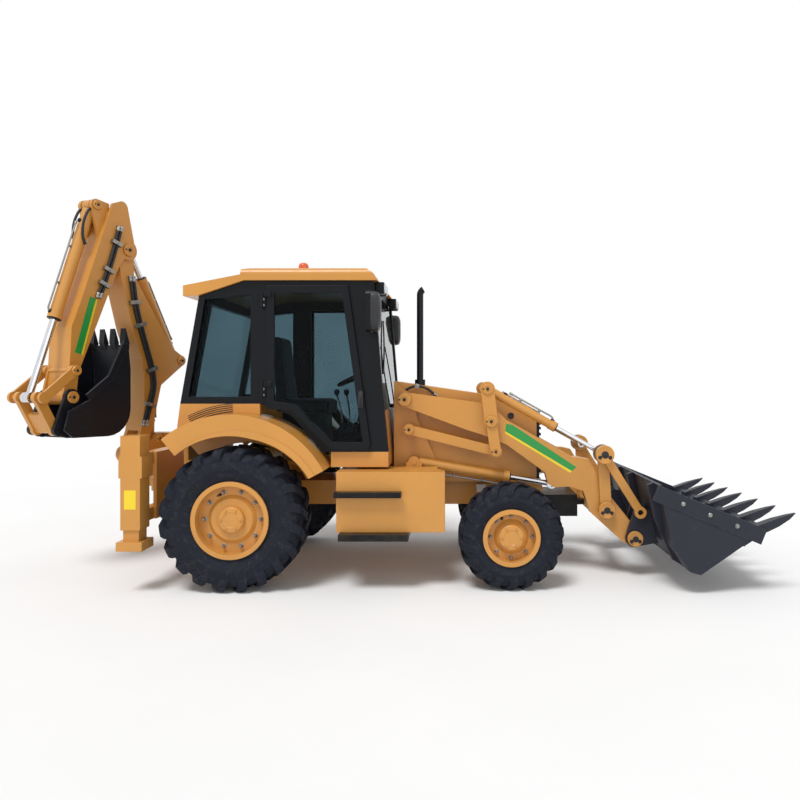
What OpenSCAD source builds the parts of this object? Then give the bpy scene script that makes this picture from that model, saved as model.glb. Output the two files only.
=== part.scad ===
// Backhoe loader: front loader with a self-levelling linkage, cab, rear sideshift backhoe.
// Millimetres, +X forward, +Y to the machine's left, +Z up, ground at Z = 0.

/* [Wheels] */
// Rear axle, from the measuring mark
rear_axle_x = -1340; // [-1360:1:-1330]
// Rear tyre diameter over the lugs
rear_tyre_d = 1190; // [1150:1:1200]
// Rear tyre width
rear_tyre_w = 420; // [400:1:425]
// Rear tyre outer face, from the middle plane
rear_tyre_out = 1120; // [1118:1:1130]
// Rear rim flange diameter
rear_rim_d = 636; // [620:1:650]
// Front axle, from the measuring mark
front_axle_x = 960; // [950:1:970]
// Front tyre diameter over the lugs
front_tyre_d = 880; // [860:1:884]
// Front tyre width
front_tyre_w = 325; // [310:1:328]
// Front tyre outer face, from the middle plane
front_tyre_out = 1060; // [1058:1:1070]
// Front rim flange diameter
front_rim_d = 473; // [460:1:485]
// Steering pivot, from the middle plane
kingpin_y = 690; // [685:1:692]
// Radius of the rear spindles
rear_spindle_r = 55; // [50:1:60]
// Radius of the front spindles
front_spindle_r = 40; // [36:1:44]

/* [Frame] */
// Distance from the measuring mark to the middle of the machine's length
frame_x = 65; // [60:1:70]
// Half width of the main frame
frame_half_w = 300; // [290:1:310]
// Lower face of the main frame
frame_z0 = 600; // [595:1:610]
// Upper face of the main frame
frame_z1 = 820; // [810:1:825]
// Loader tower plate, inner face
tower_y = 425; // [422:1:428]
// Loader tower plate thickness
tower_t = 30; // [26:1:32]

/* [Cab] */
// Half width of the cab over its pillars
cab_half_w = 820; // [815:1:825]
// Depth of the side pillars
pillar_t = 60; // [55:1:65]
// Glass thickness
glass_t = 8; // [6:1:10]
// Height of the lower edge of the roof
roof_z = 2590; // [2585:1:2600]
// Roof panel thickness at its middle
roof_t = 110; // [100:1:120]

/* [Loader] */
// Loader arm plate, inner face
arm_y = 462; // [460:1:464]
// Loader arm thickness
arm_t = 110; // [104:1:112]
// Thickness of the lever and link plates
link_t = 32; // [28:1:33]
// Loader bucket width
loader_bucket_w = 2300; // [2260:1:2340]
// Loader bucket plate thickness
bucket_plate_t = 22; // [18:1:26]
// Number of loader bucket teeth
loader_teeth = 7; // [5:1:9]
// Lift cylinder barrel diameter
lift_barrel_d = 90; // [84:1:92]
// Lift cylinder rod diameter
lift_rod_d = 50; // [46:1:54]
// Tilt cylinder barrel diameter
tilt_barrel_d = 78; // [72:1:80]
// Tilt cylinder rod diameter
tilt_rod_d = 42; // [38:1:46]

/* [Backhoe] */
// Swing axis, from the measuring mark
swing_x = -2620; // [-2630:1:-2615]
// Swing axis, to the left of the middle plane
swing_y = 622; // [615:1:628]
// Direction of the parked backhoe, from forward
swing_angle = 245; // [243:1:247]
// Boom width over its side plates
boom_w = 230; // [224:1:234]
// Dipper width over its side plates
dipper_w = 292; // [288:1:300]
// Backhoe bucket width
hoe_bucket_w = 500; // [480:1:520]
// Number of backhoe bucket teeth
hoe_teeth = 4; // [3:1:5]
// Barrel diameter of the backhoe cylinders
hoe_barrel_d = 110; // [104:1:114]
// Rod diameter of the backhoe cylinders
hoe_rod_d = 60; // [54:1:64]

/* [Stabilisers] */
// Outer face of the stabiliser legs, from the middle plane
leg_out = 1120; // [1115:1:1125]
// Leg housing depth along the machine
leg_box_x = 160; // [155:1:165]
// Leg housing width across the machine
leg_box_y = 180; // [175:1:185]
// Leg housing wall
leg_wall = 12; // [10:1:14]

/* [Hidden] */
$fn = 48;

// Running clearance of pins and rods, and the gap between neighbouring plates
pin_gap = 0.05;
rod_gap = 0.3;
lane_gap = 8;

yellow = "#d29b50";
dark = "#2b2d33";
black = "#17181b";
slate = "#3a3d47";
chrome = "#c8ccd2";
glass = "#2f4f55";

// Wheel sizes that follow from the tyres
rear_r = rear_tyre_d / 2;
front_r = front_tyre_d / 2;
rear_tyre_in = rear_tyre_out - rear_tyre_w;
front_tyre_in = front_tyre_out - front_tyre_w;
rear_disc_in = 290;
front_disc_in = 205;

// Loader pivots as [x, z], from the measuring mark
arm_pivot = [46, 1571];
lever_pivot = [810, 1380];
link_shift = [40, -265];
link_foot = arm_pivot + link_shift;
lever_foot = lever_pivot + link_shift;
tilt_base = [778, 1665];
tilt_eye = [1798, 1093];
front_lever_pivot = [1827, 600];
bucket_pivot = [2076, 348];
bucket_link_pin = [2120, 580];
lift_base = [129, 1015];
lift_eye = [1355, 816];

// Lanes across the loader, outward from the middle plane
arm_out = arm_y + arm_t;
link_y = arm_out + lane_gap;
lever_y = link_y + link_t + lane_gap;
lift_lane_y = arm_y + 45;
tilt_lane_y = arm_y + arm_t / 2;
pin_r = 34;
cap_t = 32;
lift_foot_y = lift_lane_y + lift_barrel_d / 2 + lane_gap;
lift_foot_t = 20;
tank_y = lift_foot_y + lift_foot_t + lane_gap;

// Rear axle seat: how far its flat top is above the axle, and half its length
axle_seat_z = 105;
axle_seat_x = 200;
// Front axle pivot: floor of the saddle above the axle
pivot_seat_z = 110;
// Cab floor, lower face and thickness
floor_z = 1000;
floor_t = 40;

// Backhoe pivots as [reach, z], from the swing axis
boom_foot = [340, 1000];
boom_tip = [520, 3020];
dipper_end = [1150, 1590];
guide_pivot = [1140, 1830];
curl_eye = [1435, 1590];
hoe_link_pin = [1280, 1300];
curl_base = [830, 3400];
crowd_eye = [590, 3420];
crowd_base = [-180, 1960];
boom_cyl_base = [150, 1150];
boom_cyl_eye = [120, 2100];
boom_plate_t = 40;
boom_tip_r = 88;
dipper_plate_t = 25;
dipper_in = dipper_w / 2 - dipper_plate_t;
ear_t = 30;

// Stabiliser and rear frame places
leg_x0 = -2220;
rear_frame_z = [520, 1286];
rail_z = [[540, 640], [1020, 1120]];
carriage_x = leg_x0 - 1;

module both() {
  children();
  mirror([0, 1, 0]) children();
}

// A flat plate drawn in the X-Z plane, from y0 outward by t
module slab(y0, t) {
  translate([0, y0 + t, 0]) rotate([90, 0, 0]) linear_extrude(height = t) children();
}

// A round bar along Y between y0 and y1
module pin_y(at, r, y0, y1) {
  translate([at[0], y0, at[1]]) rotate([-90, 0, 0]) cylinder(r = r, h = y1 - y0);
}

// Rectangle from p to q with round corners
module round_rect_2d(p, q, r) {
  translate([p[0] + r, p[1]]) square([q[0] - p[0] - 2 * r, q[1] - p[1]]);
  translate([p[0], p[1] + r]) square([q[0] - p[0], q[1] - p[1] - 2 * r]);
  for (x = [p[0] + r, q[0] - r])
    for (y = [p[1] + r, q[1] - r])
      translate([x, y]) circle(r = r);
}

// A section drawn in the Y-Z plane, carried along X from x0 to x1
module carried_x(x0, x1) {
  translate([x0, 0, 0]) rotate([90, 0, 90]) linear_extrude(height = x1 - x0) children();
}

// Outline of a bar with an eye at each end
module bar_2d(p, q, eye, width) {
  translate(p) circle(d = eye);
  translate(q) circle(d = eye);
  translate(p) rotate(atan2(q[1] - p[1], q[0] - p[0])) translate([0, -width / 2]) square([norm(q - p), width]);
}

// Local +X runs from p towards q in the plane at y
module along(p, q, y = 0) {
  translate([p[0], y, p[1]]) rotate([0, -atan2(q[1] - p[1], q[0] - p[0]), 0]) children();
}

module tube_x(r, x0, x1) {
  translate([x0, 0, 0]) rotate([0, 90, 0]) cylinder(r = r, h = x1 - x0);
}

// Cylinder barrel with its base eye at p, pointing at q, bored for its rod
module barrel(p, q, y, d, rod_d, length, eye_w, pin) {
  along(p, q, y) difference() {
    union() {
      tube_x(d / 2, d * 0.45, length);
      tube_x(d / 2 + 6, length - 60, length);
      translate([0, -eye_w / 2, 0]) rotate([-90, 0, 0]) cylinder(r = d * 0.5, h = eye_w);
    }
    translate([0, -eye_w, 0]) rotate([-90, 0, 0]) cylinder(r = pin + pin_gap, h = eye_w * 2);
    tube_x(rod_d / 2 + rod_gap, d * 0.75, length + 1);
  }
}

// Cylinder rod with its eye at q, coming from the barrel at p
module rod(p, q, y, rod_d, start, eye_d, eye_w, pin) {
  along(p, q, y) difference() {
    union() {
      tube_x(rod_d / 2, start, norm(q - p) - eye_d * 0.3);
      translate([norm(q - p), -eye_w / 2, 0]) rotate([-90, 0, 0]) cylinder(r = eye_d / 2, h = eye_w);
    }
    translate([norm(q - p), -eye_w, 0]) rotate([-90, 0, 0]) cylinder(r = pin, h = eye_w * 2);
  }
}

module placed() {
  translate([frame_x, 0, 0]) children();
}

// The parked backhoe's own plane: X is reach from the swing axis, Z is up
module hoe() {
  placed() translate([swing_x, swing_y, 0]) rotate([0, 0, swing_angle]) children();
}

// Main frame with the loader towers, the lift cylinder feet, the axle seats and the cab mounts
frame_x0 = -2040;
frame_x1 = 1300;

module chassis() {
  color(yellow) placed() {
    difference() {
      union() {
        translate([frame_x0, -frame_half_w, frame_z0])
          cube([frame_x1 - frame_x0, 2 * frame_half_w, frame_z1 - frame_z0]);
        translate([-160, -tower_y - tower_t, frame_z0 + 60])
          cube([520, 2 * (tower_y + tower_t), frame_z1 - frame_z0 - 60]);
        translate([-300, -tank_y, frame_z0 + 20]) cube([480, 2 * tank_y, 130]);
        for (x = [-1750, -420])
          both() translate([x, frame_half_w - 160, frame_z1 - 1]) cube([140, 140, floor_z - frame_z1 + 1]);
        both() slab(tower_y, tower_t) tower_2d();
        both() pin_y(arm_pivot, 68, tower_y + tower_t - 1, arm_y - 0.3);
        both() pin_y(arm_pivot, pin_r, tower_y, arm_out + 7);
        both() pin_y(arm_pivot, 62, arm_out + 6, arm_out + 6 + cap_t);
        both() pin_y(link_foot, 26, tower_y, link_y + link_t + 6);
        both() pin_y(link_foot, 40, tower_y + tower_t - 1, link_y - 0.3);
        both() pin_y(lift_base, 24, tower_y, lift_foot_y + lift_foot_t + 4);
        both() slab(lift_foot_y, lift_foot_t) lift_foot_2d();
        both() translate([lift_base[0] - 90, tower_y, lift_base[1] - 190])
          cube([180, lift_foot_y + lift_foot_t - tower_y, 110]);
        translate([front_axle_x - 110, -150, front_r + pivot_seat_z - 20])
          cube([220, 300, frame_z0 - front_r - pivot_seat_z + 40]);
      }
      translate([rear_axle_x - axle_seat_x, -frame_half_w - 1, frame_z0 - 1])
        cube([2 * axle_seat_x, 2 * frame_half_w + 2, rear_r + axle_seat_z - frame_z0 + 1]);
      translate([front_axle_x - 70, -151, front_r]) cube([140, 302, pivot_seat_z]);
    }
  }
}

module tower_2d() {
  polygon([[-60, frame_z0 + 60], [360, frame_z0 + 60], [330, 1010], [150, 1400], [130, 1600], [46, 1650],
    [-60, 1736]]);
}

module lift_foot_2d() {
  difference() {
    union() {
      translate(lift_base) circle(r = 52);
      translate([lift_base[0] - 70, lift_base[1] - 190]) square([140, 190]);
    }
    translate(lift_base) circle(r = 23.5);
  }
}

// Rear frame: two rails, the back plate and the stabiliser housings
module rear_frame() {
  color(yellow) placed() {
    for (z = rail_z)
      translate([leg_x0, -leg_out + leg_box_y, z[0]]) cube([90, 2 * (leg_out - leg_box_y), z[1] - z[0]]);
    translate([leg_x0 + 90, -700, 540]) cube([30, 1400, 580]);
    both() translate([leg_x0 + 90, 250, frame_z0]) cube([frame_x0 - leg_x0 - 90, 45, frame_z1 - frame_z0]);
    both() translate([leg_x0, leg_out - leg_box_y, 0]) difference() {
      union() {
        translate([0, 0, rear_frame_z[0]]) cube([leg_box_x, leg_box_y, rear_frame_z[1] - rear_frame_z[0]]);
        translate([-15, -15, 942]) cube([leg_box_x + 30, leg_box_y + 15, 176]);
      }
      translate([leg_wall, leg_wall, rear_frame_z[0] - 1])
        cube([leg_box_x - 2 * leg_wall, leg_box_y - 2 * leg_wall,
          rear_frame_z[1] - rear_frame_z[0] - leg_wall + 1]);
    }
  }
}

// Rear axle with its spindles and front axle with its kingpins
module axles() {
  color(dark) placed() {
    translate([rear_axle_x, 0, rear_r]) rotate([-90, 0, 0]) {
      translate([0, 0, -640]) cylinder(r = 100, h = 1280);
      translate([0, 0, -680]) cylinder(r = 125, h = 60);
      translate([0, 0, 620]) cylinder(r = 125, h = 60);
      translate([0, 0, -rear_tyre_in - rear_disc_in - 20])
        cylinder(r = rear_spindle_r, h = 2 * (rear_tyre_in + rear_disc_in + 20));
    }
    translate([rear_axle_x, 0, rear_r]) {
      intersection() {
        sphere(r = 180);
        translate([-180, -180, -180]) cube([360, 360, 180 + axle_seat_z - 15]);
      }
      both() translate([-90, 130, 0]) cube([180, 120, axle_seat_z]);
    }
    translate([front_axle_x, 0, front_r]) {
      translate([-65, -600, -65]) cube([130, 1200, 130]);
      translate([-60, -110, 0]) cube([120, 220, pivot_seat_z]);
      intersection() {
        sphere(r = 120);
        translate([-120, -120, -120]) cube([240, 240, 185]);
      }
      both() {
        translate([-55, 560, -180]) cube([110, 40, 360]);
        for (z = [-180, 155])
          translate([0, 0, z]) {
            translate([-38, 590, 0]) cube([76, kingpin_y - 590, 25]);
            translate([0, kingpin_y, 0]) cylinder(r = 40, h = 25);
          }
        translate([0, kingpin_y, -180]) cylinder(r = 24, h = 360);
      }
    }
  }
}

module engine() {
  color(dark) placed() translate([180, -250, frame_z1]) cube([900, 500, 560]);
}

// Hood: a shell with sloping top, open below and at the grille
hood_half_w = 400;
hood_t = 15;
hood_x1 = 1235;
hood_top = [[-60, 1735], [700, 1625], [1180, 1500], [hood_x1, 1440]];

module hood() {
  color(yellow) placed() difference() {
    slab(-hood_half_w, 2 * hood_half_w) hood_2d(0);
    slab(-hood_half_w + hood_t, 2 * (hood_half_w - hood_t)) hood_2d(hood_t);
  }
}

module hood_2d(wall) {
  polygon(concat(
    [[hood_x1, frame_z1 - wall], [hood_top[0][0] + wall, frame_z1 - wall], hood_top[0] + [wall, -wall]],
    [for (i = [1 : len(hood_top) - 1]) hood_top[i] - [0, wall]]));
}

module grille() {
  color(black) placed() {
    slab(-hood_half_w, 2 * hood_half_w)
      polygon([[hood_x1, frame_z1], [hood_x1 + 25, frame_z1], [hood_x1 + 25, 1425], [hood_x1, 1440]]);
    for (i = [0 : 8]) translate([hood_x1 + 24, -350, 900 + i * 56]) cube([22, 700, 22]);
  }
}

// Exhaust stack with a bent tip
module exhaust() {
  color(black) placed() difference() {
    translate([170, -330, 1670]) {
      cylinder(r = 30, h = 858);
      translate([60, 0, 858]) rotate([90, 0, 180]) rotate_extrude(angle = 60) translate([60, 0]) circle(r = 30);
      cylinder(r = 48, h = 80);
    }
    slab(-hood_half_w, 2 * hood_half_w) hood_2d(0);
  }
}

// Cab outlines in the side view
module rear_arch_2d(r) {
  translate([rear_axle_x, rear_r]) circle(r = r, $fn = 96);
}

module door_2d() {
  polygon([[-1105, 1500], [-900, 1480], [-815, 1400], [-715, 1300], [-560, 1150], [-250, 1150], [-225, 1190],
    [-415, 2545], [-1105, 2545]]);
}

module door_opening_2d() {
  polygon([[-1060, 1560], [-870, 1535], [-780, 1440], [-690, 1350], [-545, 1200], [-275, 1200], [-460, 2500],
    [-1060, 2500]]);
}

module door_window_2d() {
  polygon([[-1040, 1560], [-880, 1540], [-790, 1450], [-690, 1350], [-540, 1215], [-290, 1215], [-465, 2480],
    [-1040, 2480]]);
}

module side_window_2d() {
  polygon([[-1780, 1600], [-1250, 1600], [-1250, 2470], [-1640, 2430]]);
}

module cab_side_2d() {
  polygon([[-1850, 1540], [-1165, 1540], [-900, 1440], [-640, 1130], [-75, 1130], [-110, 1490], [-200, roof_z],
    [-1300, roof_z], [-1690, 2460]]);
}

// Pillars, headers, the frames round the door and side windows and the posts beside the end windows
post_w = 65;

module cab_frame() {
  color(black) placed() {
    both() slab(cab_half_w - pillar_t, pillar_t) difference() {
      cab_side_2d();
      door_opening_2d();
      side_window_2d();
      rear_arch_2d(fender_r + 1);
    }
    both() for (z = [1640, 2400])
      translate([-1150, cab_half_w, z]) door_hinge_leaf();
    slab(-cab_half_w + pillar_t, 2 * (cab_half_w - pillar_t))
      polygon([[-290, 2520], [-208, 2520], [-200, roof_z], [-290, roof_z]]);
    slab(-cab_half_w + pillar_t, 2 * (cab_half_w - pillar_t))
      polygon([[-1680, 2400], [-1620, 2400], [-1620, 2480], [-1690, 2460]]);
    both() slab(cab_half_w - pillar_t - post_w, post_w + 1) {
      polygon([[-190, 1479], [-130, 1479], [-220, 2530], [-280, 2530]]);
      polygon([[-1826, 1545], [-1770, 1545], [-1615, 2410], [-1676, 2410]]);
    }
  }
}

door_hinge_x = -1140;
door_hinge_y = cab_half_w + 55;

module door_hinge_leaf() {
  translate([0, 0, -45]) cube([40, 46, 90]);
  translate([door_hinge_x + 1150, door_hinge_y - cab_half_w, -45]) cylinder(r = 14, h = 90);
}

roof_half_w = cab_half_w + 30;
roof_round = 60;

module cab_roof() {
  color(yellow) placed() {
    intersection() {
      slab(-roof_half_w, 2 * roof_half_w)
        polygon([[-1330, roof_z - 10], [-1300, roof_z], [-165, roof_z], [-200, 2650], [-270, roof_z + roof_t],
          [-1250, roof_z + roof_t], [-1330, roof_z + roof_t - 16]]);
      carried_x(-1400, 0)
        round_rect_2d([-roof_half_w, roof_z - 120], [roof_half_w, roof_z + roof_t], roof_round);
    }
    slab(-roof_half_w, 2 * roof_half_w)
      polygon([[-1815, 2455], [-1690, 2460], [-1330, roof_z - 10], [-1329, roof_z - 9],
        [-1329, roof_z + roof_t - roof_round], [-1815, 2545]]);
  }
}

module cab_glass() {
  color(glass) placed() {
    both() slab(cab_half_w - pillar_t / 2, glass_t) side_window_2d();
    slab(-cab_half_w + pillar_t, 2 * (cab_half_w - pillar_t))
      polygon([[-128, 1480], [-128 + glass_t, 1480], [-217 + glass_t, 2520], [-217, 2520]]);
    slab(-cab_half_w + pillar_t, 2 * (cab_half_w - pillar_t))
      polygon([[-1838, 1545], [-1838 + glass_t, 1545], [-1680, 2400], [-1688, 2400]]);
  }
}

// Cab floor, cowl, rear wall, sills and the louvred panels under the side windows
module cab_base() {
  color(yellow) placed() {
    translate([-1850, -fender_y[0], floor_z]) cube([1775, 2 * fender_y[0], floor_t]);
    slab(-cab_half_w + pillar_t, 2 * (cab_half_w - pillar_t))
      polygon([[-120, floor_z + floor_t], [-75, floor_z + floor_t], [-110, 1478], [-150, 1478]]);
    slab(-cab_half_w + pillar_t, 2 * (cab_half_w - pillar_t))
      polygon([[-1890, 1330], [-1850, 1330], [-1810, 1540], [-1850, 1540]]);
    translate([-1890, -fender_y[0], floor_z]) cube([40, 2 * fender_y[0], 330]);
    both() {
      translate([-565, fender_y[0] - 1, floor_z]) cube([490, cab_half_w - fender_y[0] + 1, 130]);
      slab(cab_half_w - pillar_t, pillar_t) difference() {
        polygon([[-1875, 1354], [-1850, 1540], [-1170, 1540], [-1170, 1300], [-1875, 1250]]);
        rear_arch_2d(fender_r + 1);
      }
      for (i = [0 : louvres - 1])
        arch_sector(fender_r + 20 + i * 17, fender_r + 28 + i * 17, cab_half_w - 1, cab_half_w + 10, 94, 24);
    }
  }
}

module seat() {
  color(dark) placed() {
    translate([-1180, -250, 1440]) cube([500, 500, 120]);
    slab(-240, 480) polygon([[-1180, 1559], [-1080, 1559], [-1150, 2160], [-1240, 2160]]);
  }
}

// Seat pedestal, dashboard column and steering wheel
module console() {
  color(black) placed() {
    translate([-1130, -190, 1040]) cube([400, 380, 400]);
    slab(-180, 360) polygon([[-430, 1040], [-200, 1040], [-200, 1640], [-330, 1700], [-400, 1640]]);
    translate([-400, 0, 1640]) rotate([0, -25, 0]) {
      cylinder(r = 22, h = 165);
      translate([0, 0, 150]) rotate_extrude() translate([185, 0]) circle(r = 15);
      for (a = [0, 120, 240]) rotate([0, 0, a]) translate([0, -12, 143]) cube([180, 24, 14]);
    }
  }
}

// Rear fenders: arched shells with an inner wall against the cab floor
fender_r = 865;
fender_t = 20;
fender_y = [632, 1110];
fender_start = 28;
fender_sweep = 102;
skirt_r = 690;
skirt_shift = 55;
lip_w = 55;
lip_t = 8;
louvres = 4;

module arch_sector(r0, r1, y0, y1, start = fender_start, sweep = fender_sweep) {
  translate([rear_axle_x, y1, rear_r]) rotate([90, 0, 0]) rotate([0, 0, start])
    rotate_extrude(angle = sweep, $fn = 96) translate([r0, 0]) square([r1 - r0, y1 - y0]);
}

module fenders() {
  color(yellow) placed() both() {
    arch_sector(fender_r - fender_t, fender_r, fender_y[0], fender_y[1]);
    arch_sector(600, fender_r - fender_t / 2, fender_y[0], fender_y[0] + fender_t);
    difference() {
      arch_sector(skirt_r, fender_r - fender_t / 2, fender_y[1] - fender_t, fender_y[1]);
      slab(fender_y[1] - fender_t - 1, fender_t + 2) skirt_edge_2d(skirt_r);
    }
    intersection() {
      arch_sector(skirt_r, fender_r - fender_t, fender_y[1] - fender_t / 2, fender_y[1] + lip_t);
      slab(fender_y[1] - fender_t, 2 * fender_t) difference() {
        skirt_edge_2d(skirt_r + lip_w);
        skirt_edge_2d(skirt_r);
      }
    }
  }
}

// Lower edge of the side skirt, set forward so that the skirt tapers towards its front end
module skirt_edge_2d(r) {
  translate([rear_axle_x + skirt_shift, rear_r - skirt_shift / 4]) circle(r = r, $fn = 96);
}

module tank_boxes() {
  color(yellow) placed() both() translate([0, 0, 480]) linear_extrude(height = 500)
    polygon([[-490, tank_y], [340, tank_y], [340, 760], [410, 900], [410, 1000], [-490, 1000]]);
}

tow_lug_t = 50;
tow_bore_r = 21;

module steps_and_bumper() {
  color(dark) placed() {
    both() {
      translate([-460, 700, 425]) cube([570, 400, 55]);
      translate([-500, 1000, 775]) cube([550, 80, 45]);
    }
    translate([1300, -260, 480]) cube([330, 520, 200]);
    difference() {
      union() {
        translate([1629, -60, 555]) cube([51, 120, tow_lug_t]);
        translate([1680, 0, 555]) cylinder(r = 60, h = tow_lug_t);
      }
      translate([1680, 0, 554]) cylinder(r = tow_bore_r, h = tow_lug_t + 2);
    }
  }
}

module lamps_and_mirrors() {
  color(black) placed() {
    both() {
      for (y = [520, 680]) translate([-195, y, roof_z - 100]) lamp();
      translate([-1831, 600, 2465]) cube([16, 110, 80]);
      translate([-215, cab_half_w, 2300]) rotate([-90, 0, 0]) cylinder(r = 12, h = 120);
      carried_x(-235, -195)
        round_rect_2d([cab_half_w + 100, 2140], [cab_half_w + 290, 2470], 35);
    }
    translate([-870, -480, roof_z + roof_t]) cylinder(r = 48, h = 24);
    translate([-870, -480, roof_z + roof_t + 24]) cylinder(r = 42, h = 40);
  }
}

module lamp() {
  translate([0, -55, 0]) cube([70, 110, 100]);
}

// Wheels, drawn about their own axis with the outer face up
lug_tilt = 28;

// Half of a profile across the wheel, completed by its mirror image about half the width
function across(half, w) = concat(half, [for (i = [len(half) - 1 : -1 : 0]) [half[i][0], w - half[i][1]]]);

// Tyre: a smooth carcass with two staggered rows of slanting bars that run over the shoulders
module tyre_body(r, w, flange_d, lugs, lug_w, lug_h, shoulder) {
  bead = flange_d / 2 - 20;
  crown = r - lug_h;
  rotate_extrude($fn = 96) polygon(across([[bead, 0.08 * w], [bead + 26, 0.08 * w],
    [bead + (r - bead) * 0.4, 0.01 * w], [crown - 60, 0.035 * w], [crown - 18, 0.1 * w],
    [crown, 0.24 * w]], w));
  intersection() {
    rotate_extrude($fn = 96) polygon(across([[crown - 85, 0.032 * w], [crown - 55, 0.01 * w],
      [r - 45, 0.015 * w * shoulder], [r - 12, 0.07 * w * shoulder], [r, 0.13 * w * shoulder]], w));
    for (i = [0 : lugs - 1]) rotate([0, 0, i * 360 / lugs]) {
      lug_bar(r, w, lug_w);
      rotate([0, 0, 180 / lugs]) translate([0, 0, w]) mirror([0, 0, 1]) lug_bar(r, w, lug_w);
    }
  }
}

module lug_bar(r, w, lug_w) {
  translate([r - 130, 0, w / 2]) rotate([lug_tilt, 0, 0]) translate([0, -lug_w / 2, -0.04 * w])
    cube([140, lug_w, 0.75 * w]);
}

module rim_body(w, flange_d, disc_in, hub_r, bore_r) {
  flange_r = flange_d / 2;
  bead = flange_r - 20;
  rotate_extrude($fn = 96) {
    polygon([[bead - 18, 0.03 * w], [flange_r, 0.03 * w], [flange_r, 0.075 * w], [bead, 0.08 * w],
      [bead, 0.92 * w], [flange_r, 0.925 * w], [flange_r, 0.97 * w], [bead - 18, 0.97 * w]]);
    polygon([[bore_r, disc_in], [bead - 17, disc_in], [bead - 17, disc_in + 24], [hub_r + 30, disc_in + 24],
      [hub_r, disc_in + 50], [hub_r * 0.45, disc_in + 50], [hub_r * 0.4, disc_in + 75], [0, disc_in + 75],
      [0, disc_in + 45], [bore_r, disc_in + 45]]);
    translate([bore_r, disc_in - 120]) square([45, 121]);
  }
}

module rear_wheel_place() {
  placed() translate([rear_axle_x, rear_tyre_in, rear_r]) rotate([-90, 0, 0]) children();
}

module front_wheel_place() {
  placed() translate([front_axle_x, front_tyre_in, front_r]) rotate([-90, 0, 0]) children();
}

module rear_tyre() {
  color(black) rear_wheel_place() tyre_body(rear_r, rear_tyre_w, rear_rim_d, 20, 66, 32, 1);
}

module rear_rim() {
  color(yellow) rear_wheel_place()
    rim_body(rear_tyre_w, rear_rim_d, rear_disc_in, 170, rear_spindle_r + pin_gap);
}

module front_tyre() {
  color(black) front_wheel_place() tyre_body(front_r, front_tyre_w, front_rim_d, 18, 56, 26, 1.8);
}

module front_rim() {
  color(yellow) front_wheel_place()
    rim_body(front_tyre_w, front_rim_d, front_disc_in, 115, front_spindle_r + pin_gap);
}

// Steering knuckle: kingpin barrel, spindle and steering arm
module knuckle() {
  color(dark) placed() translate([front_axle_x, kingpin_y, front_r]) {
    difference() {
      union() {
        translate([0, 0, -154]) cylinder(r = 44, h = 308);
        rotate([-90, 0, 0]) cylinder(r = front_spindle_r, h = front_tyre_in - kingpin_y + front_disc_in + 20);
        translate([-190, -22, -60]) cube([190, 36, 40]);
      }
      translate([0, 0, -155]) cylinder(r = 24 + pin_gap, h = 310);
    }
  }
}

// Door: a framed panel over the opening, hinged at its rear edge
module door_frame() {
  color(black) placed() {
    slab(cab_half_w + 6, 34) difference() {
      door_2d();
      door_window_2d();
    }
    for (z = [1640, 2400]) difference() {
      union() {
        translate([door_hinge_x, door_hinge_y, z + 46]) cylinder(r = 14, h = 40);
        translate([door_hinge_x, door_hinge_y - 14, z + 46]) cube([80, 14, 40]);
        translate([door_hinge_x + 35, cab_half_w + 39, z + 46]) cube([45, 20, 40]);
      }
    }
    translate([-330, cab_half_w + 39, 1500]) cube([50, 22, 150]);
  }
}

module door_glass() {
  color(glass) placed() slab(cab_half_w + 20, glass_t) door_window_2d();
}

// Loader arms, joined by a cross tube
module loader_arm() {
  color(yellow) placed() difference() {
    union() {
      both() slab(arm_y, arm_t) arm_2d();
      pin_y([1920, 494], 62, -arm_y - 1, arm_y + 1);
      both() pin_y(lever_pivot, 30, arm_out - 1, lever_y + link_t + 6);
      both() pin_y(lever_pivot, 46, arm_out - 1, lever_y - 0.3);
    }
    both() pin_y(arm_pivot, pin_r + pin_gap, arm_y - 1, arm_out + 1);
    both() pin_y(front_lever_pivot, 30 + pin_gap, arm_y - 1, arm_out + 1);
    both() pin_y(bucket_pivot, 36 + pin_gap, arm_y - 1, arm_out + 1);
    both() slab(lift_lane_y - 34, 68) translate(lift_eye) circle(r = 120);
  }
}

module arm_2d() {
  translate(arm_pivot) circle(r = 68);
  translate(bucket_pivot) circle(r = 80);
  polygon([[46, 1636], [730, 1540], [860, 1480], [950, 1390], [1540, 1060], [1590, 1060], [1680, 1040],
    [1760, 900], [1879, 702], [2105, 420], [2060, 285], [1990, 300], [1695, 568], [1630, 760], [1500, 800],
    [1385, 790], [1318, 822], [1290, 925], [950, 1170], [730, 1260], [600, 1300], [46, 1506]]);
}

module rear_levers() {
  color(yellow) placed() difference() {
    both() {
      slab(lever_y, link_t) {
        bar_2d(tilt_base, lever_pivot, 130, 118);
        bar_2d(lever_pivot, lever_foot, 110, 96);
      }
      pin_y(tilt_base, 22, arm_y + 18, lever_y + 1);
      pin_y(lever_foot, 24, link_y - 6, lever_y + 1);
    }
    both() pin_y(lever_pivot, 30 + pin_gap, lever_y - 1, lever_y + link_t + 1);
  }
}

module lower_links() {
  color(yellow) placed() both() slab(link_y, link_t) difference() {
    bar_2d(link_foot, lever_foot, 104, 84);
    translate(link_foot) circle(r = 26 + pin_gap);
    translate(lever_foot) circle(r = 24 + pin_gap);
  }
}

lift_barrel_l = 860;
tilt_barrel_l = 700;

module lift_barrels() {
  color(yellow) placed() both()
    barrel(lift_base, lift_eye, lift_lane_y, lift_barrel_d, lift_rod_d, lift_barrel_l, 56, 24);
}

module lift_rods() {
  color(chrome) placed() both() rod(lift_base, lift_eye, lift_lane_y, lift_rod_d, 110, 84, 56, 24);
}

module tilt_barrels() {
  color(yellow) placed() both()
    barrel(tilt_base, tilt_eye, tilt_lane_y, tilt_barrel_d, tilt_rod_d, tilt_barrel_l, 60, 22);
}

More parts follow.
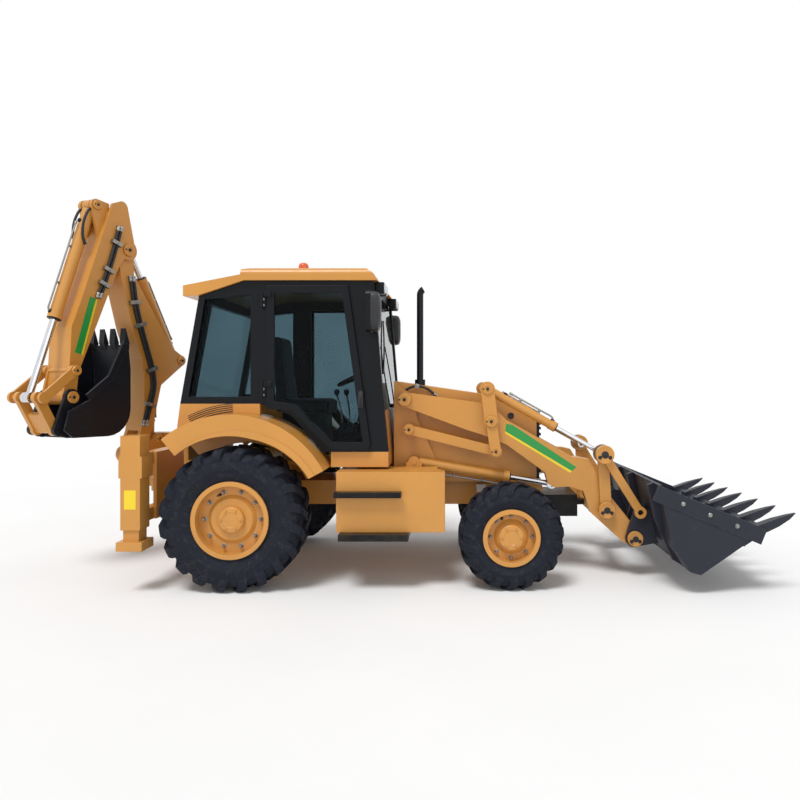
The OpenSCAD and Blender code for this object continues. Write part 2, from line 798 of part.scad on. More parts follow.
module tilt_rods() {
  color(chrome) placed() both() rod(tilt_base, tilt_eye, tilt_lane_y, tilt_rod_d, 120, 76, 60, 22);
}

// Pin with a round cap at each end, the caps outside y0 and y1
module capped_pin(at, r, cap_r, y0, y1, inner_t = cap_t, outer_t = cap_t) {
  pin_y(at, r, y0 - 1, y1 + 1);
  pin_y(at, cap_r, y0 - inner_t, y0);
  pin_y(at, cap_r, y1, y1 + outer_t);
}

module lever_pins() {
  color(dark) placed() both() capped_pin(front_lever_pivot, 30, 72, arm_y - 6, link_y + link_t + 6);
}

module front_levers() {
  color(yellow) placed() both() slab(link_y, link_t) difference() {
    bar_2d(front_lever_pivot, tilt_eye, 116, 98);
    translate(front_lever_pivot) circle(r = 30 + pin_gap);
    translate(tilt_eye) circle(r = 24 + pin_gap);
  }
}

module bucket_pins() {
  color(dark) placed() both() capped_pin(bucket_pivot, 36, 66, arm_y - 44, link_y + link_t + 6);
}

module link_pins() {
  color(dark) placed() both()
    capped_pin(tilt_eye, 24, 80, link_y - 4, lever_y + link_t + 6, inner_t = 14, outer_t = 44);
}

module bucket_links() {
  color(yellow) placed() both() slab(lever_y, link_t) difference() {
    bar_2d(tilt_eye, bucket_link_pin, 104, 72);
    translate(tilt_eye) circle(r = 24 + pin_gap);
    translate(bucket_link_pin) circle(r = 24);
  }
}

// Outline of a bent plate: a path of its outer face and the same path moved aside by t
function unit(v) = v / norm(v);
function left_of(v) = [-v[1], v[0]];
function mitre(a, b, c, t) =
  let (u = left_of(unit(b - a)), n = unit(u + left_of(unit(c - b)))) b + n * t / (n * u);
function aside(p, t) = let (last = len(p) - 1) [for (i = [0 : last])
  i == 0 ? p[0] + left_of(unit(p[1] - p[0])) * t
  : i == last ? p[last] + left_of(unit(p[last] - p[last - 1])) * t
  : mitre(p[i - 1], p[i], p[i + 1], t)];
function reversed(p) = [for (i = [len(p) - 1 : -1 : 0]) p[i]];

module plate_path_2d(points, t) {
  polygon(concat(points, reversed(aside(points, t))));
}

side_band_w = 130;
side_band_t = 8;
edge_w = 230;
edge_t = 12;
tooth_w = 90;
tooth_span = loader_bucket_w - tooth_w - 20;
rib_places = [-960, -240, 240, 960];
rib_sink = [6, 2];
loader_lip = [3009, 534];
loader_section = [loader_lip, [2478, 165], [2390, 190], [2256, 385], [2205, 596], [2140, 890]];
edge_dir = unit(loader_section[1] - loader_lip);
edge_side = left_of(edge_dir) * 3;

module loader_bucket() {
  color(slate) placed() difference() {
    union() {
      slab(-loader_bucket_w / 2, loader_bucket_w) plate_path_2d(loader_section, -bucket_plate_t);
      both() slab(loader_bucket_w / 2 - bucket_plate_t, bucket_plate_t) polygon(loader_section);
      both() slab(loader_bucket_w / 2 - bucket_plate_t, bucket_plate_t + side_band_t)
        plate_path_2d([loader_section[5], loader_section[0]], -side_band_w);
      slab(-loader_bucket_w / 2 + 1, loader_bucket_w - 2)
        plate_path_2d([loader_lip - edge_dir * 18 - edge_side, loader_lip + edge_dir * edge_w - edge_side], edge_t);
      for (y = rib_places)
        slab(y - link_t / 2, link_t)
          polygon(concat([[2095, 870], [2150, 590], [2300, 250]],
            [for (i = [2 : 5]) loader_section[i] + rib_sink]));
      both() for (y = [arm_y - 42, link_y])
        slab(y, link_t) bucket_ear_2d();
      for (i = [0 : loader_teeth - 1])
        translate([0, -tooth_span / 2 + i * tooth_span / (loader_teeth - 1), 0]) loader_tooth();
    }
    both() pin_y(bucket_pivot, 36 + pin_gap, arm_y - 43, link_y + link_t + 1);
  }
}

module bucket_ear_2d() {
  translate(bucket_pivot) circle(r = 78);
  translate(bucket_link_pin) circle(r = 52);
  polygon([[2020, 300], [2090, 275], [2290, 310], [2256, 385], [2205, 596], [2170, 600], [2075, 600],
    [2010, 400]]);
}

// Claw tooth: a hooked side outline cut by a pointed plan
module loader_tooth() {
  intersection() {
    slab(-tooth_w / 2, tooth_w)
      polygon([[2905, 452], [3009, 508], [3120, 556], [3210, 610], [3262, 659], [3190, 644], [3080, 612],
        [2985, 578], [2930, 560]]);
    linear_extrude(height = 1000)
      polygon([[2900, -tooth_w / 2], [3040, -tooth_w / 2], [3262, -tooth_w / 6], [3262, tooth_w / 6],
        [3040, tooth_w / 2], [2900, tooth_w / 2]]);
  }
}

// Sideshift carriage: a back plate on the rails and two lugs round the swing post
kingpost_z = [650, 1150];
kingpost_r = 88;
lug_t = 50;
lug_r = 85;
swing_pin_r = 45;
clamp_t = 26;

module carriage() {
  color(yellow) placed() {
    translate([carriage_x - 70, swing_y - 250, 520]) cube([70, 500, 720]);
    for (z = [rail_z[0][0] - clamp_t - 5, rail_z[1][1] + 5])
      translate([carriage_x - 71, swing_y - 250, z]) cube([111, 500, clamp_t]);
    for (z = [kingpost_z[0] - lug_t - 5, kingpost_z[1] + 5])
      translate([0, 0, z]) {
        translate([swing_x, swing_y - lug_r, 0]) cube([carriage_x - 70 - swing_x + 1, 2 * lug_r, lug_t]);
        translate([swing_x, swing_y, 0]) cylinder(r = lug_r, h = lug_t);
      }
    translate([swing_x, swing_y, kingpost_z[0] - lug_t - 5])
      cylinder(r = swing_pin_r, h = kingpost_z[1] - kingpost_z[0] + 2 * lug_t + 10);
  }
}

boom_in = boom_w / 2 - boom_plate_t;
ear_y = boom_w / 2 + 6;

module kingpost() {
  color(yellow) hoe() {
    difference() {
      union() {
        translate([0, 0, kingpost_z[0]]) cylinder(r = kingpost_r, h = kingpost_z[1] - kingpost_z[0]);
        translate([0, -ear_y - ear_t, kingpost_z[0]]) cube([110, 2 * (ear_y + ear_t), 230]);
        both() slab(ear_y, ear_t) kingpost_ear_2d();
        pin_y(boom_foot, 38, -ear_y - ear_t - 6, ear_y + ear_t + 6);
        pin_y(boom_cyl_base, 26, -ear_y - ear_t - 6, ear_y + ear_t + 6);
      }
      translate([0, 0, kingpost_z[0] - 1])
        cylinder(r = swing_pin_r + pin_gap, h = kingpost_z[1] - kingpost_z[0] + 2);
    }
  }
}

module kingpost_ear_2d() {
  translate(boom_foot) circle(r = 84);
  translate(boom_cyl_base) circle(r = 54);
  polygon([[0, 660], [110, 660], [380, 930], [340, 1084], [150, 1200], [98, 1150], [60, 1100], [0, 1100]]);
}

// Boom: two side plates, filled above the lift cylinder's eye
module boom() {
  color(yellow) hoe() difference() {
    union() {
      both() slab(boom_in, boom_plate_t) boom_2d();
      slab(-boom_in - 1, 2 * boom_in + 2) boom_fill_2d();
      pin_y(crowd_base, 28, -boom_w / 2 - 6, boom_w / 2 + 6);
    }
    pin_y(boom_foot, 38 + pin_gap, -boom_w, boom_w);
    pin_y(boom_tip, 36 + pin_gap, -boom_w, boom_w);
  }
}

module boom_2d() {
  translate(boom_foot) circle(r = 84);
  translate(boom_tip) circle(r = boom_tip_r);
  translate(crowd_base) circle(r = 56);
  polygon([[262, 1030], [90, 1700], [-200, 1910], [-210, 2000], [-54, 2090], [428, 2790], [432, 3035],
    [600, 2990], [585, 2767], [440, 2246], [330, 1960], [300, 1750], [300, 1480], [340, 1240], [415, 1040],
    [400, 1000], [300, 1000]]);
}

module boom_fill_2d() {
  difference() {
    polygon([[200, 2440], [428, 2790], [440, 3000], [600, 2990], [585, 2767], [440, 2246], [400, 2120],
      [330, 2200]]);
    translate(boom_tip) circle(r = 30);
  }
  translate(boom_tip) circle(r = boom_tip_r);
  polygon([[440, 2246], [330, 1960], [300, 1750], [300, 1480], [340, 1240], [322, 1240], [280, 1480],
    [280, 1750], [310, 1965], [400, 2200]]);
}

// Dipper: side plates round the boom tip, filled along the outer face
module dipper() {
  color(yellow) hoe() {
    both() slab(dipper_in, dipper_plate_t) dipper_2d();
    slab(-dipper_in - 1, 2 * dipper_in + 2) dipper_fill_2d();
    both() slab(58, 34) curl_ear_2d();
    pin_y(boom_tip, 36, -dipper_w / 2 - 8, dipper_w / 2 + 8);
    pin_y(dipper_end, 68, -dipper_in - 1, dipper_in + 1);
    pin_y(dipper_end, 34, -dipper_w / 2 - 44, dipper_w / 2 + 44);
    pin_y(guide_pivot, 26, -dipper_w / 2 - 78, dipper_w / 2 + 78);
    both() pin_y(guide_pivot, 44, dipper_w / 2 - 1, dipper_w / 2 + 43);
    pin_y(curl_base, 28, -100, 100);
  }
}

module dipper_2d() {
  translate(boom_tip) circle(r = 100);
  translate(crowd_eye) circle(r = 62);
  translate(dipper_end) circle(r = 75);
  polygon([[430, 3000], [530, 3440], [590, 3482], [700, 3440], [745, 3300], [1035, 2478], [1130, 2230],
    [1150, 1900], [1215, 1620], [1090, 1550], [1060, 1819], [643, 2811], [560, 2935]]);
}

module dipper_fill_2d() {
  polygon([[690, 3380], [720, 3350], [745, 3300], [1035, 2478], [1130, 2230], [1150, 1900], [1180, 1640],
    [1085, 1620], [1075, 1830], [680, 2800], [690, 3000]]);
}

module curl_ear_2d() {
  translate(curl_base) circle(r = 56);
  polygon([[690, 3320], [740, 3300], [815, 3100], [890, 3400], [830, 3456], [700, 3440]]);
}

// Backhoe bucket: bent shell, side plates, ears and teeth
hoe_lip = [610, 2090];
heel_r = 250;
hoe_section = concat([hoe_lip, [583, 1850]],
  [for (a = [180 : 15 : 270]) [584 + heel_r, 1472] + heel_r * [cos(a), sin(a)]], [[1190, 1228]]);
hoe_plate_t = 16;
hoe_rim = [[1029, 1564], [785, 1747], hoe_lip];
hoe_band_w = 60;
hoe_band_t = 8;
hoe_ear_y = dipper_w / 2 + 6;

module hoe_bucket() {
  color(dark) hoe() difference() {
    union() {
      slab(-hoe_bucket_w / 2, hoe_bucket_w) plate_path_2d(hoe_section, hoe_plate_t);
      both() slab(hoe_bucket_w / 2 - hoe_plate_t, hoe_plate_t) hoe_side_2d();
      both() slab(hoe_bucket_w / 2 - hoe_plate_t, hoe_plate_t + hoe_band_t)
        plate_path_2d(hoe_rim, -hoe_band_w);
      both() slab(hoe_ear_y, ear_t) hoe_ear_2d();
      for (i = [0 : hoe_teeth - 1])
        slab(-hoe_bucket_w / 2 + i * (hoe_bucket_w - 70) / (hoe_teeth - 1), 70) hoe_tooth_2d();
    }
    both() pin_y(dipper_end, 34 + pin_gap, hoe_ear_y - 1, hoe_ear_y + ear_t + 1);
  }
}

module hoe_side_2d() {
  polygon(concat(hoe_section, [[1280, 1300], [1235, 1470]], hoe_rim));
}

module hoe_ear_2d() {
  translate(dipper_end) circle(r = 74);
  translate(hoe_link_pin) circle(r = 52);
  polygon([[1080, 1580], [1000, 1232], [1200, 1226], [1280, 1252], [1328, 1310], [1222, 1600]]);
}

module hoe_tooth_2d() {
  polygon([[600, 2040], [622, 2040], [652, 2110], [640, 2245], [596, 2110]]);
}

boom_barrel_l = 760;
crowd_barrel_l = 930;
curl_barrel_l = 1160;

module boom_barrel() {
  color(yellow) hoe() barrel(boom_cyl_base, boom_cyl_eye, 0, hoe_barrel_d, hoe_rod_d, boom_barrel_l, 96, 26);
}

module boom_rod() {
  color(chrome) hoe() rod(boom_cyl_base, boom_cyl_eye, 0, hoe_rod_d, 160, 96, 96, 28);
}

module crowd_barrel() {
  color(yellow) hoe() barrel(crowd_base, crowd_eye, 0, hoe_barrel_d, hoe_rod_d, crowd_barrel_l, 96, 28);
}

module crowd_rod() {
  color(chrome) hoe() rod(crowd_base, crowd_eye, 0, hoe_rod_d, 760, 96, 96, 28);
}

module curl_barrel() {
  color(yellow) hoe() barrel(curl_base, curl_eye, 0, hoe_barrel_d, hoe_rod_d, curl_barrel_l, 96, 28);
}

module curl_rod() {
  color(chrome) hoe() rod(curl_base, curl_eye, 0, hoe_rod_d, 780, 96, 96, 28);
}

guide_y = hoe_ear_y + ear_t + 8;
guide_t = 26;

module guide_links() {
  color(yellow) hoe() both() {
    slab(guide_y, guide_t) difference() {
      bar_2d(guide_pivot, curl_eye, 104, 84);
      translate(guide_pivot) circle(r = 26 + pin_gap);
    }
    pin_y(curl_eye, 26, 58, guide_y + 1);
  }
}

module power_link() {
  color(yellow) hoe() difference() {
    union() {
      both() slab(96, 44) bar_2d(curl_eye, hoe_link_pin, 100, 84);
      slab(-97, 194) bar_2d(curl_eye * 0.45 + hoe_link_pin * 0.55, hoe_link_pin, 60, 58);
    }
    both() pin_y(curl_eye, 26 + pin_gap, 95, 141);
    pin_y(hoe_link_pin, 22, -150, 150);
  }
}

leg_gap = 4;
pad_z = 354;
pad_t = 73;

module stabiliser_leg() {
  color(yellow) placed() {
    translate([leg_x0 + leg_wall + leg_gap, leg_out - leg_box_y + leg_wall + leg_gap, pad_z + pad_t])
      cube([leg_box_x - 2 * (leg_wall + leg_gap), leg_box_y - 2 * (leg_wall + leg_gap), 820]);
    translate([leg_x0 - 25, leg_out - leg_box_y - 20, pad_z]) cube([leg_box_x + 50, leg_box_y + 45, pad_t]);
  }
}

chassis();
rear_frame();
axles();
engine();
hood();
grille();
exhaust();
cab_frame();
cab_roof();
cab_glass();
cab_base();
seat();
console();
fenders();
tank_boxes();
steps_and_bumper();
lamps_and_mirrors();
rear_tyre();  // rear_tyre_left
mirror([0, 1, 0]) rear_tyre();  // rear_tyre_right
rear_rim();  // rear_rim_left
mirror([0, 1, 0]) rear_rim();  // rear_rim_right
front_tyre();  // front_tyre_left
mirror([0, 1, 0]) front_tyre();  // front_tyre_right
front_rim();  // front_rim_left
mirror([0, 1, 0]) front_rim();  // front_rim_right
knuckle();  // knuckle_left
mirror([0, 1, 0]) knuckle();  // knuckle_right
door_frame();  // door_frame_left
mirror([0, 1, 0]) door_frame();  // door_frame_right
door_glass();  // door_glass_left
mirror([0, 1, 0]) door_glass();  // door_glass_right
loader_arm();
rear_levers();
lower_links();
lift_barrels();
lift_rods();
tilt_barrels();
tilt_rods();
lever_pins();
front_levers();
bucket_pins();
loader_bucket();
link_pins();
bucket_links();
carriage();
kingpost();
boom();
dipper();
hoe_bucket();
boom_barrel();
boom_rod();
crowd_barrel();
crowd_rod();
curl_barrel();
curl_rod();
guide_links();
power_link();
stabiliser_leg();  // stabiliser_leg_left
mirror([0, 1, 0]) stabiliser_leg();  // stabiliser_leg_right
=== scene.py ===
"""Finish of a backhoe loader: materials, fasteners, hoses, lenses, trim and seat.

Metres, +X forward, +Y to the machine's left, +Z up, ground at Z = 0. Whole numbers in places and
outlines are millimetres in the CAD's own measures, and mark and hoe turn them into points.
"""
import math
import random

import bmesh
import bpy
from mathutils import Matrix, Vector


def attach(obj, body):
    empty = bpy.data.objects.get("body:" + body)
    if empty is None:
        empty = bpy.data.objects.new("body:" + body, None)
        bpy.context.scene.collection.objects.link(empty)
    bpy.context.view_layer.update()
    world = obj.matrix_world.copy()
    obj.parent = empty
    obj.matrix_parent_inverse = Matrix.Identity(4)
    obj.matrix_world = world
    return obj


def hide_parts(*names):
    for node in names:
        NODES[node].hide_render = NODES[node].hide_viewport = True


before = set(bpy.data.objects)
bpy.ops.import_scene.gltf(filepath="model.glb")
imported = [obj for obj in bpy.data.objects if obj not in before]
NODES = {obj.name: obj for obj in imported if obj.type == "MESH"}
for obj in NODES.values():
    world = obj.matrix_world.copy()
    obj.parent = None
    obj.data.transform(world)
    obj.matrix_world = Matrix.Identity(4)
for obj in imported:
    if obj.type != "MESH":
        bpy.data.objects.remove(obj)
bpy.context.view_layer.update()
random.seed(7)

SIDES = (("left", 1), ("right", -1))
FORWARD = Vector((1, 0, 0))
LEFT = Vector((0, 1, 0))
UP = Vector((0, 0, 1))


# Colours

def srgb(red, green, blue):
    """Linear colour from screen values of 0 to 255."""
    def linear(value):
        value /= 255
        return value / 12.92 if value <= 0.04045 else ((value + 0.055) / 1.055) ** 2.4
    return (linear(red), linear(green), linear(blue), 1.0)


def shade(colour, factor):
    return tuple(min(1.0, c * factor) for c in colour[:3]) + (1.0,)


YELLOW = srgb(208, 146, 66)
BLACK_PAINT = srgb(7, 11, 17)
SLATE = srgb(37, 40, 51)
DARK_PAINT = srgb(22, 25, 33)
IRON = srgb(46, 46, 48)
STEEL = srgb(150, 148, 144)
CHROME = srgb(214, 216, 220)
MIRROR = srgb(205, 210, 214)
RUBBER = srgb(20, 25, 37)
HOSE = srgb(20, 21, 23)
PLASTIC = srgb(26, 27, 30)
FABRIC = srgb(44, 46, 52)
GREEN = srgb(38, 150, 66)
BAND_YELLOW = srgb(244, 214, 40)
WHITE = srgb(222, 222, 216)
BEACON = srgb(232, 92, 18)
CLEAR_LENS = srgb(214, 218, 222)
RED_LENS = srgb(170, 20, 18)
GLASS = (srgb(138, 160, 167), srgb(126, 148, 156))
FLOOR = ((0.93, 0.93, 0.93, 1), (0.96, 0.96, 0.96, 1))
DUST = srgb(150, 128, 100)
TYRE_DUST = srgb(96, 92, 88)
PRIMER = srgb(92, 84, 76)
SCUFFED = srgb(104, 104, 108)
RUBBED = srgb(126, 124, 122)
RUST = srgb(98, 66, 44)


# Materials

MIX_FIRST, MIX_SECOND, MIX_RESULT = 6, 7, 2  # colour sockets of the Mix node
BEVEL_SAMPLES = 4
EDGE_RADIUS = 0.006
EDGE_DOTS = (0.98, 0.88)  # soft normal against true normal, on a face and on an edge
NOISE_RANGE = (0.3, 0.7)  # most of a noise texture's values
DUST_HEIGHTS = (1.1, 0.25)  # no dust above the first, most below the second
SCUFF_STRETCH = (0.6, 0.2, 2.4)
SCRATCH_STRETCH = (1.0, 1.0, 9.0)


class Tree:
    """A material's node tree with short calls for the nodes used here."""

    def __init__(self, name):
        self.material = bpy.data.materials.new(name)
        self.material.use_nodes = True
        self.nodes = self.material.node_tree.nodes
        self.links = self.material.node_tree.links
        self.shader = self.nodes["Principled BSDF"]
        self.place = self.nodes.new("ShaderNodeTexCoord").outputs["Object"]

    def node(self, kind, **inputs):
        made = self.nodes.new(kind)
        for key, value in inputs.items():
            self.put(made.inputs[key.replace("_", " ")], value)
        return made

    def put(self, socket, value):
        if isinstance(value, bpy.types.NodeSocket):
            self.links.new(value, socket)
        else:
            socket.default_value = value

    def noise(self, scale, detail=4.0, rough=0.55, stretch=None):
        place = self.place
        if stretch:
            place = self.node("ShaderNodeMapping", Vector=place, Scale=stretch).outputs["Vector"]
        made = self.node("ShaderNodeTexNoise", Vector=place, Scale=scale, Detail=detail,
                         Roughness=rough)
        return made.outputs["Fac"]

    def ramp(self, value, low, high, bottom=0.0, top=1.0):
        made = self.node("ShaderNodeMapRange", Value=value, From_Min=low, From_Max=high,
                         To_Min=bottom, To_Max=top)
        made.clamp = True
        return made.outputs["Result"]

    def drift(self, scale, detail=4.0, rough=0.55, bottom=0.0, top=1.0):
        """Noise that runs from bottom to top."""
        return self.ramp(self.noise(scale, detail, rough), *NOISE_RANGE, bottom, top)

    def math(self, how, first, second):
        made = self.nodes.new("ShaderNodeMath")
        made.operation = how
        self.put(made.inputs[0], first)
        self.put(made.inputs[1], second)
        return made.outputs[0]

    def mix(self, factor, first, second):
        made = self.nodes.new("ShaderNodeMix")
        made.data_type = "RGBA"
        self.put(made.inputs["Factor"], factor)
        self.put(made.inputs[MIX_FIRST], first)
        self.put(made.inputs[MIX_SECOND], second)
        return made.outputs[MIX_RESULT]

    def tone(self, factor, colour, dark, bright):
        """A colour between its darker and its brighter shade."""
        return self.mix(factor, shade(colour, dark), shade(colour, bright))

    def cover(self, tone, mask, share, colour):
        """A tone covered by a colour where the mask is 1, up to a share."""
        return self.mix(self.math("MULTIPLY", mask, share), tone, colour)

    def height(self):
        return self.node("ShaderNodeSeparateXYZ", Vector=self.place).outputs["Z"]

    def soft_normal(self, radius):
        soft = self.node("ShaderNodeBevel", Radius=radius)
        soft.samples = BEVEL_SAMPLES
        return soft.outputs["Normal"]

    def edges(self):
        """1 on outer and inner edges, 0 on plain faces."""
        dot = self.nodes.new("ShaderNodeVectorMath")
        dot.operation = "DOT_PRODUCT"
        true_normal = self.nodes.new("ShaderNodeNewGeometry").outputs["Normal"]
        self.links.new(self.soft_normal(EDGE_RADIUS), dot.inputs[0])
        self.links.new(true_normal, dot.inputs[1])
        return self.ramp(dot.outputs["Value"], *EDGE_DOTS)

    def bump(self, value, strength, distance, rounding=0.0):
        made = self.node("ShaderNodeBump", Height=value, Strength=strength, Distance=distance)
        if rounding:
            self.links.new(self.soft_normal(rounding), made.inputs["Normal"])
        return made.outputs["Normal"]

    def set(self, **inputs):
        for key, value in inputs.items():
            self.put(self.shader.inputs[key.replace("_", " ")], value)
        return self.material


def paint(name, colour, rough=0.38, coat=0.3, rounding=0.006, dust=0.25, wear=0.35, gleam=0.4):
    """Sprayed paint: slight colour drift, orange peel, dust low down and thin wear on edges."""
    tree = Tree(name)
    tone = tree.tone(tree.drift(1.7, 5.0), colour, 0.94, 1.05)
    low_down = tree.ramp(tree.height(), *DUST_HEIGHTS)
    grime = tree.math("MULTIPLY", low_down, tree.ramp(tree.noise(9.0, 6.0, 0.65), 0.42, 0.7))
    tone = tree.cover(tone, grime, dust, DUST)
    patches = tree.ramp(tree.noise(28.0, 6.0, 0.7), 0.54, 0.68)
    tone = tree.cover(tone, tree.math("MULTIPLY", tree.edges(), patches), wear, PRIMER)
    gloss = tree.drift(14.0, 3.0, bottom=rough - 0.05, top=rough + 0.09)
    gloss = tree.math("ADD", gloss, tree.math("MULTIPLY", grime, 0.2))
    peel = tree.bump(tree.noise(420.0, 2.0), 0.05, 0.001, rounding)
    tree.set(Coat_Weight=coat, Coat_Roughness=0.16, Specular_IOR_Level=gleam)
    return tree.set(Base_Color=tone, Roughness=gloss, Normal=peel)


def bucket_steel(name, colour):
    """Bucket paint with scuffed streaks, rubbed bright on its edges."""
    tree = Tree(name)
    tone = tree.tone(tree.drift(2.3, 6.0, 0.6), colour, 0.93, 1.07)
    scuff = tree.ramp(tree.noise(11.0, 4.0, 0.6, SCUFF_STRETCH), 0.62, 0.8)
    tone = tree.cover(tone, scuff, 0.12, SCUFFED)
    patches = tree.ramp(tree.noise(24.0, 5.0), 0.4, 0.6)
    tone = tree.cover(tone, tree.math("MULTIPLY", tree.edges(), patches), 0.5, RUBBED)
    gloss = tree.drift(9.0, 4.0, bottom=0.4, top=0.52)
    grain = tree.bump(tree.noise(120.0, 3.0, 0.5), 0.05, 0.001, 0.005)
    return tree.set(Base_Color=tone, Roughness=gloss, Normal=grain, Specular_IOR_Level=0.3)


def rubber(name, colour):
    """Tyre rubber, greyer where dust settles."""
    tree = Tree(name)
    drift = tree.ramp(tree.noise(5.0, 6.0, 0.6), 0.35, 0.7)
    dusty = tree.ramp(tree.noise(23.0, 7.0, 0.7), 0.52, 0.72)
    tone = tree.cover(tree.tone(drift, colour, 0.8, 1.2), dusty, 0.22, TYRE_DUST)
    grain = tree.bump(tree.noise(300.0, 4.0, 0.6), 0.25, 0.0015, 0.006)
    gloss = tree.ramp(drift, 0.0, 1.0, 0.62, 0.78)
    return tree.set(Base_Color=tone, Roughness=gloss, Normal=grain, Specular_IOR_Level=0.25)


def metal(name, colour, rough):
    """Bare or plated metal with fine scratches."""
    tree = Tree(name)
    tone = tree.tone(tree.drift(12.0, 5.0), colour, 0.9, 1.06)
    fine = tree.noise(90.0, 3.0, 0.5, SCRATCH_STRETCH)
    gloss = tree.ramp(fine, *NOISE_RANGE, rough * 0.8, rough * 1.35)
    grain = tree.bump(fine, 0.03, 0.001, 0.002)
    return tree.set(Base_Color=tone, Roughness=gloss, Metallic=1.0, Normal=grain)


def iron(name, colour):
    """Cast and forged iron with a coarse skin and a little rust."""
    tree = Tree(name)
    drift = tree.drift(8.0, 6.0, 0.6)
    rust = tree.ramp(tree.noise(17.0, 7.0, 0.7), 0.6, 0.75)
    tone = tree.cover(tree.tone(drift, colour, 0.75, 1.2), rust, 0.3, RUST)
    gloss = tree.ramp(drift, 0, 1, 0.5, 0.7)
    grain = tree.bump(tree.noise(140.0, 5.0, 0.6), 0.3, 0.002, 0.004)
    return tree.set(Base_Color=tone, Roughness=gloss, Metallic=0.35, Normal=grain)


def plastic(name, colour, rough=0.5):
    """Moulded plastic with a fine leather grain."""
    tree = Tree(name)
    cells = tree.node("ShaderNodeTexVoronoi", Vector=tree.place, Scale=520.0)
    tone = tree.tone(tree.drift(6.0, 4.0), colour, 0.88, 1.15)
    gloss = tree.drift(20.0, bottom=rough - 0.06, top=rough + 0.08)
    grain = tree.bump(cells.outputs["Distance"], 0.1, 0.0008, 0.003)
    return tree.set(Base_Color=tone, Roughness=gloss, Normal=grain)


def tinted_glass(name, tints):
    """Safety glass with a blue-green tint that drifts a little."""
    tree = Tree(name)
    tone = tree.mix(tree.drift(1.4, 3.0, 0.5), *tints)
    return tree.set(Base_Color=tone, Roughness=0.0, Transmission_Weight=1.0, IOR=1.16)


def lens(name, colour):
    """Moulded lamp lens with vertical flutes."""
    tree = Tree(name)
    flutes = tree.node("ShaderNodeTexWave", Vector=tree.place, Scale=60.0, Distortion=0.0)
    flutes.bands_direction = "Y"
    tone = tree.tone(tree.drift(30.0), colour, 0.85, 1.1)
    bump = tree.bump(flutes.outputs["Fac"], 0.2, 0.002)
    return tree.set(Base_Color=tone, Roughness=0.16, Normal=bump, Coat_Weight=0.5)


def fabric(name, colour):
    """Woven seat cloth."""
    tree = Tree(name)
    threads = []
    for direction in "XY":
        wave = tree.node("ShaderNodeTexWave", Vector=tree.place, Scale=180.0, Distortion=0.6)
        wave.bands_direction = direction
        threads.append(wave.outputs["Fac"])
    weave = tree.math("MULTIPLY", *threads)
    tone = tree.tone(tree.drift(9.0, 5.0), colour, 0.8, 1.15)
    tone = tree.cover(tone, weave, 0.4, shade(colour, 1.6))
    bump = tree.bump(weave, 0.35, 0.001)
    return tree.set(Base_Color=tone, Roughness=0.85, Normal=bump, Sheen_Weight=0.3)


MATERIALS = {
    "yellow_paint": paint("yellow_paint", YELLOW),
    "black_paint": paint("black_paint", BLACK_PAINT, rough=0.34, coat=0.06, dust=0.12, wear=0.1,
                         gleam=0.2),
    "slate_paint": bucket_steel("slate_paint", SLATE),
    "dark_paint": bucket_steel("dark_paint", DARK_PAINT),
    "dark_iron": iron("dark_iron", IRON),
    "steel_pin": metal("steel_pin", STEEL, 0.34),
    "chrome_rod": metal("chrome_rod", CHROME, 0.12),
    "tyre_rubber": rubber("tyre_rubber", RUBBER),
    "tinted_glass": tinted_glass("tinted_glass", GLASS),
    "seat_fabric": fabric("seat_fabric", FABRIC),
    "dark_plastic": plastic("dark_plastic", PLASTIC),
    "hose_rubber": plastic("hose_rubber", HOSE, 0.55),
    "band_green": paint("band_green", GREEN, rounding=0.0, dust=0.0, wear=0.1),
    "band_yellow": paint("band_yellow", BAND_YELLOW, rounding=0.0, dust=0.0, wear=0.1),
    "label_white": paint("label_white", WHITE, rounding=0.0, dust=0.1, wear=0.1),
    "beacon_orange": lens("beacon_orange", BEACON),
    "lamp_clear": lens("lamp_clear", CLEAR_LENS),
    "lamp_red": lens("lamp_red", RED_LENS),
    "mirror_glass": metal("mirror_glass", MIRROR, 0.04),
}


# Places: the CAD's own marks in millimetres, given as metres in the row frame

MARK_X = 0.065
SWING_AT = Vector((-2.555, 0.622, 0.0))
SWING_ANGLE = math.radians(245)
REACH = Vector((math.cos(SWING_ANGLE), math.sin(SWING_ANGLE), 0.0))
ACROSS = Vector((-REACH.y, REACH.x, 0.0))


def mark(x, y, z):
    """A point from the machine's measuring mark, in millimetres."""
    return Vector((x / 1000 + MARK_X, y / 1000, z / 1000))


def hoe(reach, across, z):
    """A point in the parked backhoe's own plane, in millimetres."""
    return SWING_AT + REACH * (reach / 1000) + ACROSS * (across / 1000) + UP * (z / 1000)


def on_sides(place, x, y, z, outward):
    """The same point on both sides, each with the direction that faces out."""
    return [(place(x, side * y, z), outward * side) for _, side in SIDES]


def spoke(angle):
    """Unit vector in a wheel's plane."""
    return Vector((math.cos(angle), 0, math.sin(angle)))


# Mesh helpers

SINK = 0.001  # how far a fastener's foot reaches into what carries it
SHARP = math.radians(35)  # edges over this angle stay sharp
HEX = 6


def frame_along(direction):
    """Two unit vectors square to a direction."""
    side = UP if abs(direction.z) < 0.9 else FORWARD
    first = direction.cross(side).normalized()
    return first, direction.cross(first).normalized()


def ring(mesh, at, first, second, radius, sides, turn=0.0):
    angles = [turn + 2 * math.pi * i / sides for i in range(sides)]
    return [mesh.verts.new(at + (first * math.cos(a) + second * math.sin(a)) * radius)
            for a in angles]


def skin(mesh, rings):
    """Faces between successive rings, with end caps."""
    for near, far in zip(rings, rings[1:]):
        count = len(near)
        for i in range(count):
            ahead = (i + 1) % count
            mesh.faces.new((near[i], near[ahead], far[ahead], far[i]))
    mesh.faces.new(list(reversed(rings[0])))
    mesh.faces.new(rings[-1])


